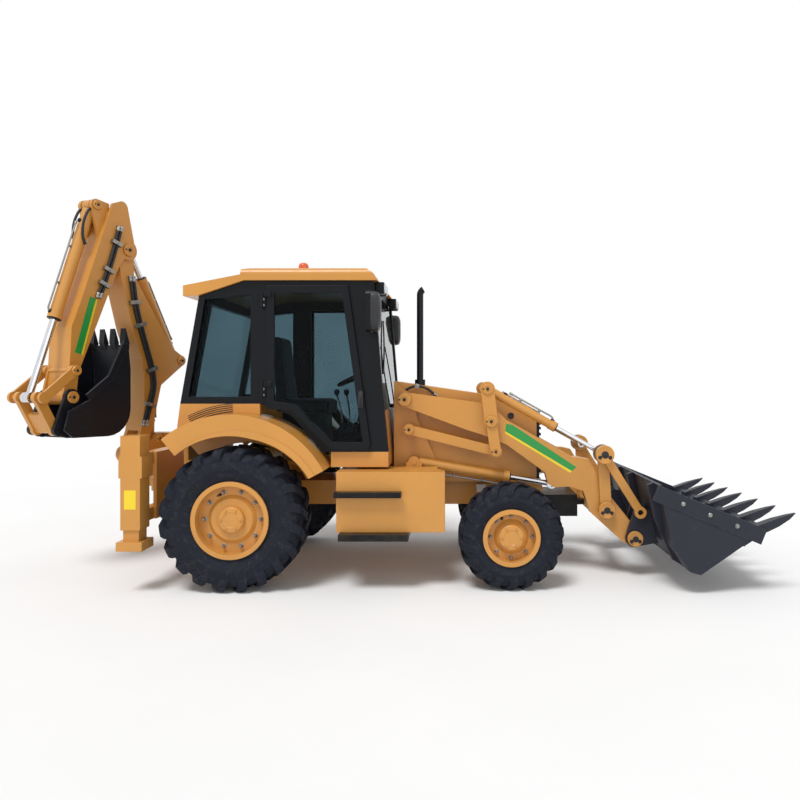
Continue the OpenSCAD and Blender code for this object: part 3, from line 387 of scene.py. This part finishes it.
def turned(mesh, at, axis, profile, sides=24, turn=0.0):
    """A turned piece: profile is (radius, height) along the axis."""
    axis = axis.normalized()
    first, second = frame_along(axis)
    skin(mesh, [ring(mesh, at + axis * h, first, second, r, sides, turn) for r, h in profile])


def widened(radius, profile):
    """A profile from shares of a radius, with heights in metres."""
    return [(radius * share, height) for share, height in profile]


def bolt(mesh, at, axis, size):
    """Hexagon head on a washer; size is the thread diameter."""
    washer = [(size * 1.05, -SINK), (size * 1.05, size * 0.18), (size * 0.98, size * 0.24)]
    head = [(size * 0.86, size * 0.2), (size * 0.88, size * 0.28), (size * 0.88, size * 0.75),
            (size * 0.76, size * 0.86)]
    turned(mesh, at, axis, washer, 16)
    turned(mesh, at, axis, head, HEX, random.random() * math.pi)


def smooth_path(points, steps):
    """Catmull-Rom curve through the points."""
    pts = [points[0] * 2 - points[1]] + list(points) + [points[-1] * 2 - points[-2]]
    out = []
    for a, b, c, d in zip(pts, pts[1:], pts[2:], pts[3:]):
        for i in range(steps):
            t = i / steps
            out.append(0.5 * (2 * b + (c - a) * t + (2 * a - 5 * b + 4 * c - d) * t ** 2
                              + (3 * b - a - 3 * c + d) * t ** 3))
    return out + [points[-1]]


def tube(mesh, points, radius, sides, steps=8):
    """A round tube along a smooth path, without twist."""
    path = smooth_path(points, steps)
    heading = (path[1] - path[0]).normalized()
    first, second = frame_along(heading)
    rings = []
    for i, at in enumerate(path):
        ahead = (path[min(i + 1, len(path) - 1)] - path[max(i - 1, 0)]).normalized()
        turn = heading.rotation_difference(ahead)
        first, second, heading = turn @ first, turn @ second, ahead
        rings.append(ring(mesh, at, first, second, radius, sides))
    skin(mesh, rings)


def fitting(mesh, at, axis, radius):
    """Hydraulic hose end: crimped sleeve and a hexagon nut."""
    sleeve = [(radius * 1.12, 0.0), (radius * 1.25, 0.004), (radius * 1.25, radius * 2.2),
              (radius * 1.05, radius * 2.5)]
    nut = [(radius * 1.3, 0.0), (radius * 1.4, 0.003), (radius * 1.4, radius * 1.3),
           (radius * 1.25, radius * 1.45)]
    turned(mesh, at, axis, sleeve, 16)
    turned(mesh, at + axis.normalized() * radius * 2.4, axis, nut, HEX)


def slab(mesh, corners, normal, thickness):
    """A plate: an outline in order, thickened along its normal."""
    normal = normal.normalized()
    low = [mesh.verts.new(c) for c in corners]
    high = [mesh.verts.new(c + normal * thickness) for c in corners]
    skin(mesh, [low, high])


def block(mesh, low, high):
    """A box from its lowest to its highest corner."""
    corners = [(low.x, low.y), (high.x, low.y), (high.x, high.y), (low.x, high.y)]
    slab(mesh, [Vector((x, y, low.z)) for x, y in corners], UP, high.z - low.z)


def pillow(mesh, centre, out, width, height, depth, sides=28):
    """A softly domed upright plate with round corners."""
    side = UP.cross(out).normalized()

    def outline(scale, lift):
        verts = []
        for i in range(sides):
            a = 2 * math.pi * i / sides
            c, s = math.cos(a), math.sin(a)
            x = math.copysign(abs(c) ** 0.45, c) * width / 2 * scale
            y = math.copysign(abs(s) ** 0.45, s) * height / 2 * scale
            verts.append(mesh.verts.new(centre + side * x + UP * y + out * lift))
        return verts

    skin(mesh, [outline(1.0, -0.002), outline(1.0, depth * 0.45), outline(0.94, depth * 0.8),
                outline(0.7, depth), outline(0.3, depth * 1.04)])


def piece(name, mesh, material, body, bevel=0.0, flat=False):
    """Turns a bmesh into a finished piece that rides on a body."""
    bmesh.ops.recalc_face_normals(mesh, faces=mesh.faces)
    for face in mesh.faces:
        face.smooth = not flat
    for edge in mesh.edges:
        edge.smooth = edge.calc_face_angle(0.0) < SHARP
    data = bpy.data.meshes.new(name)
    mesh.to_mesh(data)
    mesh.free()
    made = bpy.data.objects.new(name, data)
    bpy.context.scene.collection.objects.link(made)
    data.materials.append(MATERIALS[material])
    if bevel:
        rounding = made.modifiers.new("edges", "BEVEL")
        rounding.width = bevel
        rounding.segments = 2
        rounding.limit_method = "ANGLE"
    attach(made, body)


# Wheels

WHEELS = {
    "rear_wheel_": dict(axle=(-1340, 595), face=1.040, nut_ring=0.232, nuts=10, nut_size=0.020,
                        hub_r=0.107, valve_ring=0.225),
    "front_wheel_": dict(axle=(960, 440), face=0.990, nut_ring=0.172, nuts=8, nut_size=0.017,
                         hub_r=0.106, valve_ring=0.17),
}
DISC_STEP = 0.026  # the disc lies this far behind the hub's face
HUB_RISE = 0.025
HUB_BOLTS = 6
VALVE_ANGLE = 2.05
NUT_WASHER = ((0.95, -SINK), (0.95, 0.004), (0.8, 0.006))
NUT = ((0.72, 0.004), (0.74, 0.007), (0.74, 0.024), (0.6, 0.028))
STUD = ((0.42, 0.02), (0.42, 0.04), (0.34, 0.043))
HUB_COVER = ((1.0, -0.026), (1.0, 0.004), (0.92, 0.012), (0.6, 0.016), (0.56, 0.013),
             (0.2, 0.013))
VALVE = ((0.013, 0.0), (0.013, 0.012), (0.007, 0.016), (0.006, 0.055), (0.0075, 0.056),
         (0.0075, 0.07), (0.005, 0.073))


def wheel_hardware(body, side, axle, face, nut_ring, nuts, nut_size, hub_r, valve_ring):
    """Wheel nuts and valve on the disc, and the cover on the hub's face."""
    out = Vector((0, side, 0))
    centre = mark(axle[0], 0, axle[1])
    disc = face - DISC_STEP
    mesh = bmesh.new()
    for i in range(nuts):
        at = centre + spoke(2 * math.pi * i / nuts) * nut_ring + out * disc
        turned(mesh, at, out, widened(nut_size, NUT_WASHER), 18)
        turned(mesh, at, out, widened(nut_size, NUT), HEX, random.random())
        turned(mesh, at, out, widened(nut_size, STUD), 12)
    piece(body + "_nuts", mesh, "steel_pin", body)
    mesh = bmesh.new()
    cap = centre + out * (face + HUB_RISE)
    turned(mesh, cap, out, widened(hub_r, HUB_COVER), 36)
    for i in range(HUB_BOLTS):
        arm = spoke(2 * math.pi * i / HUB_BOLTS) * hub_r * 0.76
        bolt(mesh, cap + arm + out * 0.013, out, hub_r * 0.11)
    piece(body + "_hub_cover", mesh, "yellow_paint", body)
    mesh = bmesh.new()
    stem = centre + spoke(VALVE_ANGLE) * valve_ring + out * (disc - 0.004)
    turned(mesh, stem, out, VALVE, 12)
    piece(body + "_valve", mesh, "dark_plastic", body)


def wheels():
    for name, side in SIDES:
        for kind, sizes in WHEELS.items():
            wheel_hardware(kind + name, side, **sizes)


# Pins: painted covers with keeper bolts on the loader's wide pins, turned caps on the others

KEEPER_BOSS = ((0.4, -SINK), (0.4, 0.004), (0.34, 0.007))
KEEPER_BOLT = 0.016
OUTER_COVER_DEPTH = 0.031
PIN_CAP = ((1.0, -0.003), (1.0, 0.008), (0.93, 0.013), (0.55, 0.015), (0.5, 0.012), (0.3, 0.012))

# Pin body: (x, z), outer face, inner face, radius, depth of the inner cover
LOADER_KEEPERS = {
    "lever_pins": ((1827, 600), 650, 424, 0.072, 0.031),
    "bucket_pins": ((2076, 348), 650, 386, 0.066, 0.031),
    "link_pins": ((1798, 1093), 702, 562, 0.08, 0.013),
}
# Body, (x, z), outer face, radius
LOADER_CAPS = (
    ("loader_arm", (810, 1380), 658, 0.052),
    ("root", (86, 1306), 618, 0.046),
    ("root", (46, 1571), 610, 0.058),
    ("rear_levers", (778, 1665), 652, 0.05),
    ("rear_levers", (850, 1115), 652, 0.046),
)
# Body, (reach, z), outer face, radius
HOE_CAPS = (
    ("kingpost", (340, 1000), 157, 0.062),
    ("kingpost", (150, 1150), 157, 0.044),
    ("dipper", (520, 3020), 154, 0.062),
    ("dipper", (1150, 1590), 190, 0.055),
    ("dipper", (1140, 1830), 224, 0.045),
    ("boom", (-180, 1960), 121, 0.046),
    ("dipper", (830, 3400), 100, 0.046),
)


def keeper(mesh, at, out, radius):
    """Two keeper bolts and a raised boss on a pin's end."""
    first, second = frame_along(out)
    turned(mesh, at, out, widened(radius, KEEPER_BOSS), 24)
    for sign in (-1, 1):
        bolt(mesh, at + first * radius * 0.55 * sign + second * radius * 0.3, out, KEEPER_BOLT)


def pin_cover(mesh, at, out, radius, depth):
    """Painted shell over a pin's disc, with a rolled edge."""
    turned(mesh, at, out, [(radius + 0.0012, -depth), (radius + 0.0015, -0.001),
                           (radius * 0.985, 0.002), (radius * 0.9, 0.003),
                           (radius * 0.86, 0.0015), (radius * 0.3, 0.0015)], 48)


def pin_cap(mesh, bolts, at, out, radius):
    """Turned cap with a rolled edge, a centre bolt and a lock bolt."""
    turned(mesh, at, out, widened(radius, PIN_CAP), 32)
    first, _ = frame_along(out)
    axis = out.normalized()
    bolt(bolts, at + axis * 0.012, out, radius * 0.26)
    bolt(bolts, at + axis * 0.013 + first * radius * 0.74, out, radius * 0.14)


def pins():
    for body, ((x, z), outer, inner, radius, inner_depth) in LOADER_KEEPERS.items():
        mesh, covers = bmesh.new(), bmesh.new()
        for _, side in SIDES:
            out = LEFT * side
            keeper(mesh, mark(x, side * outer, z), out, radius)
            pin_cover(covers, mark(x, side * outer, z), out, radius, OUTER_COVER_DEPTH)
            pin_cover(covers, mark(x, side * inner, z), -out, radius, inner_depth)
        piece(body + "_keepers", mesh, "dark_iron", body)
        piece(body + "_covers", covers, "yellow_paint", body)
    for kind, caps, place, outward in (("pin", LOADER_CAPS, mark, LEFT),
                                       ("hoe", HOE_CAPS, hoe, ACROSS)):
        for i, (body, (x, z), outer, radius) in enumerate(caps):
            mesh, bolts = bmesh.new(), bmesh.new()
            for at, out in on_sides(place, x, outer, z, outward):
                pin_cap(mesh, bolts, at, out, radius)
            piece("{}_{}_caps_{}".format(body, kind, i), mesh, "yellow_paint", body)
            piece("{}_{}_bolts_{}".format(body, kind, i), bolts, "dark_iron", body)


# Cylinders: gland collar, ports and the oil pipe along each barrel

# Body, base (x, z), eye (x, z), lane, diameter, length, side of the pipe: 1 above, -1 below
LOADER_BARRELS = (
    ("lift_barrels", (129, 1015), (1355, 816), 507, 90, 860, -1),
    ("tilt_barrels", (778, 1665), (1798, 1093), 517, 78, 700, 1),
)
# Body, base (reach, z), eye (reach, z), diameter, length
HOE_BARRELS = (
    ("boom_barrel", (150, 1150), (120, 2100), 110, 760),
    ("crowd_barrel", (-180, 1960), (590, 3420), 110, 930),
    ("curl_barrel", (830, 3400), (1435, 1590), 110, 1160),
)
PORT_BOSS = ((0.019, 0.0), (0.019, 0.014), (0.014, 0.018))
PIPE_CLIP = ((0.012, -0.004), (0.012, 0.022), (0.01, 0.024))
PIPE_R = 0.0085
PIPE_LIFT = 0.028


def cylinder_dress(mesh, pipes, base, eye, normal, diameter, length):
    """Gland collar, port bosses and a pipe on the side of a barrel that normal points to."""
    along = (eye - base).normalized()
    radius = diameter / 2000
    end = base + along * (length / 1000)
    turned(mesh, end, along, [(radius + 0.004, -0.012), (radius + 0.0055, -0.008),
                              (radius + 0.0055, 0.004), (radius * 0.86, 0.01),
                              (radius * 0.66, 0.012)], 36)
    near, far = base + along * (0.13 + radius), end - along * 0.05
    for port in (near, far):
        turned(mesh, port + normal * (radius - 0.004), normal, PORT_BOSS, 18)
    lift = normal * (radius + PIPE_LIFT)
    pipe = [far + normal * (radius + 0.012), far + lift - along * 0.03, far + lift - along * 0.12,
            near + lift + along * 0.2, near + lift + along * 0.06]
    tube(pipes, pipe, PIPE_R, 10)
    fitting(pipes, pipe[-1], -along, 0.009)
    for share in (0.3, 0.7):
        turned(pipes, near.lerp(far, share) + normal * (radius + 0.002), normal, PIPE_CLIP, 12)


def cylinders():
    for body, base, eye, lane, diameter, length, sign in LOADER_BARRELS:
        mesh, pipes = bmesh.new(), bmesh.new()
        for _, side in SIDES:
            start = mark(base[0], side * lane, base[1])
            stop = mark(eye[0], side * lane, eye[1])
            normal = (stop - start).cross(LEFT).normalized()
            normal = normal if normal.z * sign > 0 else -normal
            cylinder_dress(mesh, pipes, start, stop, normal, diameter, length)
        piece(body + "_glands", mesh, "black_paint", body)
        piece(body + "_pipes", pipes, "steel_pin", body)
    for body, base, eye, diameter, length in HOE_BARRELS:
        mesh, pipes = bmesh.new(), bmesh.new()
        start, stop = hoe(base[0], 0, base[1]), hoe(eye[0], 0, eye[1])
        normal = (stop - start).cross(ACROSS).normalized()
        cylinder_dress(mesh, pipes, start, stop, normal, diameter, length)
        piece(body + "_gland", mesh, "black_paint", body)
        piece(body + "_pipe", pipes, "steel_pin", body)


# Colour bands and blank plates

BAND_T = 0.0012
ARM_FACE, DIPPER_FACE, LEG_FACE = 572, 146, 1120
ARM_BAND = ((946, 1357), (1003, 1346), (1569, 972), (1530, 936), (937, 1290))
ARM_EDGE = ((937, 1290), (1530, 936), (1513, 921), (935, 1273))
DIPPER_BAND = ((882, 2503), (945, 2522), (1100, 1997), (1037, 1978))
DIPPER_EDGE = ((865, 2498), (882, 2503), (1037, 1978), (1020, 1973))
BANDS = (
    ("arm_band", "loader_arm", ARM_BAND, "band_green", mark, ARM_FACE, LEFT),
    ("arm_band_edge", "loader_arm", ARM_EDGE, "band_yellow", mark, ARM_FACE, LEFT),
    ("dipper_band", "dipper", DIPPER_BAND, "band_green", hoe, DIPPER_FACE, ACROSS),
    ("dipper_band_edge", "dipper", DIPPER_EDGE, "band_yellow", hoe, DIPPER_FACE, ACROSS),
)


def bands():
    for name, body, outline, material, place, face, outward in BANDS:
        mesh = bmesh.new()
        for _, side in SIDES:
            slab(mesh, [place(u, side * face, v) for u, v in outline], outward * side, BAND_T)
        piece(name, mesh, material, body, flat=True)
    mesh = bmesh.new()
    for _, side in SIDES:
        block(mesh, mark(-2190, side * LEG_FACE - 1, 690), mark(-2095, side * LEG_FACE + 1, 845))
    piece("leg_plates", mesh, "band_yellow", "root", 0.0006)


def frame_box():
    """Small white box with a lid and two bolts, on the frame's right side."""
    mesh = bmesh.new()
    block(mesh, mark(690, -330, 715), mark(770, -299, 780))
    block(mesh, mark(685, -333, 764), mark(775, -299, 786))
    for x in (704, 756):
        bolt(mesh, mark(x, -330, 737), -LEFT, 0.006)
    piece("frame_box", mesh, "label_white", "root", 0.003)


# Hoses: each rides on one body, and all but the curl hoses are held by clamps

BOOM_HOSES = ((300, 1345), (250, 1500), (205, 1680), (225, 1860), (290, 2060), (370, 2300),
              (430, 2520), (462, 2720))
DIPPER_HOSES = ((640, 3180), (672, 3060), (712, 2930), (760, 2790), (812, 2650), (850, 2560))
ARM_HOSES = ((420, 1500), (600, 1470), (760, 1425), (880, 1350), (1010, 1265), (1200, 1155),
             (1400, 1040), (1530, 965))
CURL_HOSE = ((862, 3372), (905, 3330), (950, 3220), (960, 3090), (930, 3010))
TOWER_HOSE = ((20, 1500), (8, 1590), (60, 1662), (150, 1690), (235, 1668), (300, 1622))
BOOM_LANE, DIPPER_LANE, ARM_LANE, CURL_LANE, TOWER_LANE = 133, 163, 448, 66, 424
TOWER_CLAMP = 3  # the clamp's point on the tower's hose
TOWER_HOSE_R = 0.011


def clamp(mesh, at, along, out, width):
    """Saddle clamp over a hose or a pair of hoses, with its bolt."""
    side = along.cross(out).normalized()
    low = at - out * 0.016
    corners = [low + side * width * s + along * 0.018 * a
               for s, a in ((1, 1), (-1, 1), (-1, -1), (1, -1))]
    slab(mesh, corners, out, 0.038)
    bolt(mesh, at + out * 0.022, out, 0.011)


def end_fittings(mesh, path, radius):
    fitting(mesh, path[0], path[0] - path[1], radius)
    fitting(mesh, path[-1], path[-1] - path[-2], radius)


def hose_run(name, body, points, place, lane, out, radius, spread, clamps):
    """Two hoses side by side with end fittings and clamps."""
    mesh, hardware = bmesh.new(), bmesh.new()
    for sign in (-1, 1):
        path = [place(u + sign * spread, lane, v) for u, v in points]
        tube(mesh, path, radius, 14, 6)
        end_fittings(hardware, path, radius)
    for i in clamps:
        at, ahead = [place(u, lane, v) for u, v in points[i:i + 2]]
        width = (spread * 2 + radius * 1000 + 8) / 1000
        clamp(hardware, at, (ahead - at).normalized(), out, width)
    piece(name + "_hoses", mesh, "hose_rubber", body)
    piece(name + "_fittings", hardware, "steel_pin", body)


def hoses():
    hose_run("boom", "boom", BOOM_HOSES, hoe, BOOM_LANE, ACROSS, 0.015, 20, (1, 3, 5, 6))
    hose_run("dipper", "dipper", DIPPER_HOSES, hoe, DIPPER_LANE, ACROSS, 0.013, 17, (1, 3, 4))
    for name, side in SIDES:
        hose_run("arm_" + name, "loader_arm", ARM_HOSES, mark, side * ARM_LANE, LEFT * -side,
                 0.011, 15, (1, 3, 5, 6))
    mesh = bmesh.new()
    for across in (-CURL_LANE, CURL_LANE):
        tube(mesh, [hoe(r, across, z) for r, z in CURL_HOSE], 0.012, 12)
    piece("curl_hoses", mesh, "hose_rubber", "curl_barrel")
    mesh, hardware = bmesh.new(), bmesh.new()
    for _, side in SIDES:
        path = [mark(x, side * TOWER_LANE, z) for x, z in TOWER_HOSE]
        tube(mesh, path, TOWER_HOSE_R, 14)
        end_fittings(hardware, path, TOWER_HOSE_R)
        at, ahead = path[TOWER_CLAMP:TOWER_CLAMP + 2]
        clamp(hardware, at, (ahead - at).normalized(), LEFT * side, 0.02)
    piece("tower_hoses", mesh, "hose_rubber", "root")
    piece("tower_fittings", hardware, "steel_pin", "root")


# Lamps, mirrors, beacon and wiper

LAMP_X, LAMP_YS, LAMP_Z = -125, (520, 680), 2540
REAR_LENS_X, REAR_LENS_Y, REAR_LENS_ZS = -1831, 655, (2525, 2486)
MIRROR_Y, MIRROR_Z = 1015, 2305
MIRROR_FACE_X, MIRROR_BACK_X = -235, -195
BEACON_AT = mark(-870, -480, 2724)
BEACON_DOME = ((0.0445, 0.0), (0.046, 0.006), (0.0455, 0.04), (0.041, 0.058), (0.03, 0.07),
               (0.012, 0.076))
WIPER_FOOT, WIPER_TIP = mark(-112, 60, 1500), mark(-160, -380, 2050)
WIPER_HUB = ((0.02, 0.0), (0.02, 0.02), (0.012, 0.026))
BLADE_ENDS = (mark(-143, -560, 1800), mark(-183, -200, 2300))


def lamps():
    lenses, bezels, rear = bmesh.new(), bmesh.new(), bmesh.new()
    for _, side in SIDES:
        for y in LAMP_YS:
            at = mark(LAMP_X, side * y, LAMP_Z)
            pillow(bezels, at, FORWARD, 0.11, 0.1, 0.006)
            pillow(lenses, at + FORWARD * 0.005, FORWARD, 0.092, 0.082, 0.012)
        for z in REAR_LENS_ZS:
            pillow(rear, mark(REAR_LENS_X, side * REAR_LENS_Y, z), -FORWARD, 0.096, 0.032, 0.01)
    piece("lamp_bezels", bezels, "dark_plastic", "root")
    piece("lamp_lenses", lenses, "lamp_clear", "root")
    piece("rear_lenses", rear, "lamp_red", "root")


def mirrors():
    faces, backs = bmesh.new(), bmesh.new()
    for _, side in SIDES:
        y = side * MIRROR_Y
        pillow(faces, mark(MIRROR_FACE_X, y, MIRROR_Z), -FORWARD, 0.165, 0.3, 0.003, 36)
        pillow(backs, mark(MIRROR_BACK_X, y, MIRROR_Z), FORWARD, 0.186, 0.326, 0.075, 36)
    piece("mirror_faces", faces, "mirror_glass", "root")
    piece("mirror_backs", backs, "dark_plastic", "root")


def beacon():
    mesh = bmesh.new()
    turned(mesh, BEACON_AT, UP, BEACON_DOME, 32)
    piece("beacon_dome", mesh, "beacon_orange", "root")


def wiper():
    mesh = bmesh.new()
    middle = WIPER_FOOT.lerp(WIPER_TIP, 0.5)
    arm = [WIPER_FOOT + FORWARD * 0.012, middle + FORWARD * 0.016, WIPER_TIP + FORWARD * 0.01]
    blade = [BLADE_ENDS[0], WIPER_TIP + FORWARD * 0.004, BLADE_ENDS[1]]
    turned(mesh, WIPER_FOOT - FORWARD * 0.01, FORWARD, WIPER_HUB, 18)
    tube(mesh, arm, 0.006, 8)
    tube(mesh, blade, 0.007, 8)
    piece("wiper", mesh, "dark_plastic", "root")


# Doors and cab fittings

HINGE_X, HINGE_Y = -1130, 866
HINGE_BOLT_ZS = (1640 - 25, 1640 + 25, 2400 - 25, 2400 + 25)
HANDLE_X = -305
HANDLE_GRIP = ((884, 1520), (902, 1540), (904, 1590), (886, 1625))  # (y, z)


def doors():
    for name, side in SIDES:
        out = LEFT * side
        mesh = bmesh.new()
        for z in HINGE_BOLT_ZS:
            bolt(mesh, mark(HINGE_X, side * HINGE_Y, z), out, 0.012)
        piece("door_bolts_" + name, mesh, "steel_pin", "door_" + name)
        mesh = bmesh.new()
        pillow(mesh, mark(HANDLE_X, side * 881, 1575), out, 0.044, 0.14, 0.006)
        tube(mesh, [mark(HANDLE_X, side * y, z) for y, z in HANDLE_GRIP], 0.007, 10)
        piece("door_handle_" + name, mesh, "dark_plastic", "door_" + name)


# Painted shade: dark strips over the gaps between the louvre slats
LOUVRE_AXLE_X, LOUVRE_FACE, LOUVRE_AXLE_Z = -1340, 819, 595
LOUVRE_SHADE_STRIPS = 5
LOUVRE_PITCH = 0.017
LOUVRE_INNER, LOUVRE_OUTER = 0.876, 0.883
LOUVRE_ANGLES = range(94, 119, 2)
LOUVRE_T = 0.003


def louvre_painted_shade():
    """Painted shade: dark strips laid on the panels over the rear wheels, where the gaps between
    their slats fall into shade.
    """
    mesh = bmesh.new()
    for _, side in SIDES:
        centre = mark(LOUVRE_AXLE_X, side * LOUVRE_FACE, LOUVRE_AXLE_Z)
        out = Vector((0, side * LOUVRE_T, 0))
        for i in range(LOUVRE_SHADE_STRIPS):
            inner, outer = LOUVRE_INNER + i * LOUVRE_PITCH, LOUVRE_OUTER + i * LOUVRE_PITCH
            rings = []
            for degrees in LOUVRE_ANGLES:
                arm = spoke(math.radians(degrees))
                low, high = centre + arm * inner, centre + arm * outer
                rings.append([mesh.verts.new(at) for at in (low, high, high + out, low + out)])
            skin(mesh, rings)
    # the dark plastic here is painted shade standing in for the shaded slat gaps
    piece("louvre_painted_shade", mesh, "dark_plastic", "root")


LEVERS = ((-420, -330, 40), (-480, -330, -30), (-540, -330, -60))  # x, y, lean forward
LEVER_FOOT_Z, LEVER_HEAD_Z = 1300, 1620
KNOB = ((0.010, 0.0), (0.022, 0.018), (0.026, 0.036), (0.022, 0.054), (0.01, 0.062))
GAITER = ((0.055, 0.0), (0.05, 0.02), (0.036, 0.035), (0.038, 0.045), (0.024, 0.06),
          (0.026, 0.07), (0.012, 0.09))


def controls():
    """Hand levers with knobs and gaiters on a side console in the cab."""
    sticks, knobs = bmesh.new(), bmesh.new()
    for x, y, lean in LEVERS:
        foot, head = mark(x, y, LEVER_FOOT_Z), mark(x + lean, y + 20, LEVER_HEAD_Z)
        tube(sticks, [foot, foot.lerp(head, 0.5) + FORWARD * 0.012, head], 0.008, 10)
        turned(knobs, head - UP * 0.02, UP, KNOB, 20)
        turned(knobs, foot - UP * 0.03, UP, GAITER, 20)
    block(knobs, mark(-620, -390, 1030), mark(-360, -270, 1280))
    piece("lever_rods", sticks, "chrome_rod", "root")
    piece("lever_knobs", knobs, "dark_plastic", "root", 0.006)


SEAT_VOXEL = 0.012
SEAT_PRESSURE = 4.0
SEAT_FRAMES = 20
SEAT_SWELL = 0.012  # how far a point of the cushion may move


def stuff(made):
    """Swells a closed mesh by cloth under pressure, no further than SEAT_SWELL."""
    rest = [v.co.copy() for v in made.data.vertices]
    cloth = made.modifiers.new("fill", "CLOTH")
    cloth.settings.use_pressure = True
    cloth.settings.uniform_pressure_force = SEAT_PRESSURE
    cloth.settings.effector_weights.gravity = 0.0
    cloth.point_cache.frame_end = SEAT_FRAMES
    scene = bpy.context.scene
    for number in range(1, SEAT_FRAMES + 1):
        scene.frame_set(number)
    bpy.ops.object.modifier_apply(modifier=cloth.name)
    scene.frame_set(1)
    for vert, start in zip(made.data.vertices, rest):
        move = vert.co - start
        if move.length > SEAT_SWELL:
            vert.co = start + move.normalized() * SEAT_SWELL


def seat():
    """The seat's soft solid as a stuffed cushion."""
    source = NODES["seat"]
    made = bpy.data.objects.new("seat_cushion", source.data.copy())
    made.matrix_world = source.matrix_world.copy()
    bpy.context.scene.collection.objects.link(made)
    bpy.ops.object.select_all(action="DESELECT")
    bpy.context.view_layer.objects.active = made
    made.select_set(True)
    remesh = made.modifiers.new("remesh", "REMESH")
    remesh.mode = "VOXEL"
    remesh.voxel_size = SEAT_VOXEL
    bpy.ops.object.modifier_apply(modifier=remesh.name)
    stuff(made)
    rounding = made.modifiers.new("round", "SUBSURF")
    rounding.levels = 1
    rounding.render_levels = 1
    made.data.materials.clear()
    made.data.materials.append(MATERIALS["seat_fabric"])
    made.data.shade_smooth()
    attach(made, "root")
    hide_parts("seat")


# Loader bucket and hood

BUCKET_FACE = 1158
BUCKET_BOLTS = ((2332, 741), (2549, 652), (2767, 563))
HOOD_FACE, LATCH_Z = 400, 1420
LATCH_XS = (120, 1000)
LATCH = ((0.03, -SINK), (0.03, 0.004), (0.024, 0.008), (0.02, 0.006), (0.006, 0.006))


def bucket_bolts():
    mesh = bmesh.new()
    for _, side in SIDES:
        for x, z in BUCKET_BOLTS:
            bolt(mesh, mark(x, side * BUCKET_FACE, z), LEFT * side, 0.018)
    piece("bucket_bolts", mesh, "steel_pin", "loader_bucket")


def hood_latches():
    mesh = bmesh.new()
    for _, side in SIDES:
        for x in LATCH_XS:
            turned(mesh, mark(x, side * HOOD_FACE, LATCH_Z), LEFT * side, LATCH, 24)
    piece("hood_latches", mesh, "dark_plastic", "root")


# Camera, light and floor

CAMERA_AT = (0.575, -6.92, 1.70)
CAMERA_TURN = (math.radians(90), 0, 0)
CAMERA_LENS, CAMERA_SENSOR = 32.2, 36.0
CAMERA_SHIFT = (-0.07125, -0.01875)
SKY_LIGHT = 0.5
FLOOR_SIZE = 120.0
FLOOR_DROP = 0.001


def camera():
    data = bpy.data.cameras.new("camera")
    data.lens = CAMERA_LENS
    data.sensor_width = CAMERA_SENSOR
    data.shift_x, data.shift_y = CAMERA_SHIFT
    made = bpy.data.objects.new("camera", data)
    made.location = CAMERA_AT
    made.rotation_euler = CAMERA_TURN
    bpy.context.scene.collection.objects.link(made)
    bpy.context.scene.camera = made


def sun(name, strength, spread, towards):
    data = bpy.data.lights.new(name, "SUN")
    data.energy = strength
    data.angle = math.radians(spread)
    made = bpy.data.objects.new(name, data)
    made.rotation_euler = Vector(towards).to_track_quat("-Z", "Y").to_euler()
    bpy.context.scene.collection.objects.link(made)


def seen_rays(tree):
    """1 for rays that show the backdrop: from the camera, in gloss and through glass."""
    path = tree.nodes.new("ShaderNodeLightPath")
    seen = path.outputs["Is Camera Ray"]
    for ray in ("Is Glossy Ray", "Is Transmission Ray"):
        largest = tree.nodes.new("ShaderNodeMath")
        largest.operation = "MAXIMUM"
        tree.links.new(seen, largest.inputs[0])
        tree.links.new(path.outputs[ray], largest.inputs[1])
        seen = largest.outputs[0]
    return seen


def sky():
    """White backdrop that lights the part with less than it shows."""
    world = bpy.data.worlds.new("studio")
    bpy.context.scene.world = world
    world.use_nodes = True
    tree = world.node_tree
    back = tree.nodes["Background"]
    back.inputs["Color"].default_value = (1, 1, 1, 1)
    level = tree.nodes.new("ShaderNodeMapRange")
    level.inputs["To Min"].default_value = SKY_LIGHT
    level.inputs["To Max"].default_value = 1.0
    tree.links.new(seen_rays(tree), level.inputs["Value"])
    tree.links.new(level.outputs["Result"], back.inputs["Strength"])


def floor():
    tree = Tree("studio_floor")
    tree.set(Base_Color=tree.mix(tree.drift(0.6, 4.0), *FLOOR), Roughness=0.9)
    mesh = bpy.data.meshes.new("studio_floor")
    half = FLOOR_SIZE / 2
    corners = [(-half, -half, 0), (half, -half, 0), (half, half, 0), (-half, half, 0)]
    mesh.from_pydata(corners, [], [(0, 1, 2, 3)])
    made = bpy.data.objects.new("studio_floor", mesh)
    made.location.z = -FLOOR_DROP
    mesh.materials.append(tree.material)
    bpy.context.scene.collection.objects.link(made)


def dress_nodes():
    """Each CAD node takes the finish of its record slot."""
    for thing in NODES.values():
        for place in thing.material_slots:
            base = place.material.name.split(".")[0] if place.material else ""
            if base in MATERIALS and place.material is not MATERIALS[base]:
                place.material = MATERIALS[base]


camera()
sky()
sun("key", 1.9, 20.0, (0.25, 0.5, -1.0))
sun("fill", 0.35, 40.0, (-0.5, 0.8, -0.25))
floor()
bpy.context.scene.view_settings.view_transform = "Standard"
dress_nodes()
wheels()
pins()
cylinders()
bands()
frame_box()
hoses()
lamps()
mirrors()
beacon()
wiper()
doors()
louvre_painted_shade()
controls()
seat()
bucket_bolts()
hood_latches()
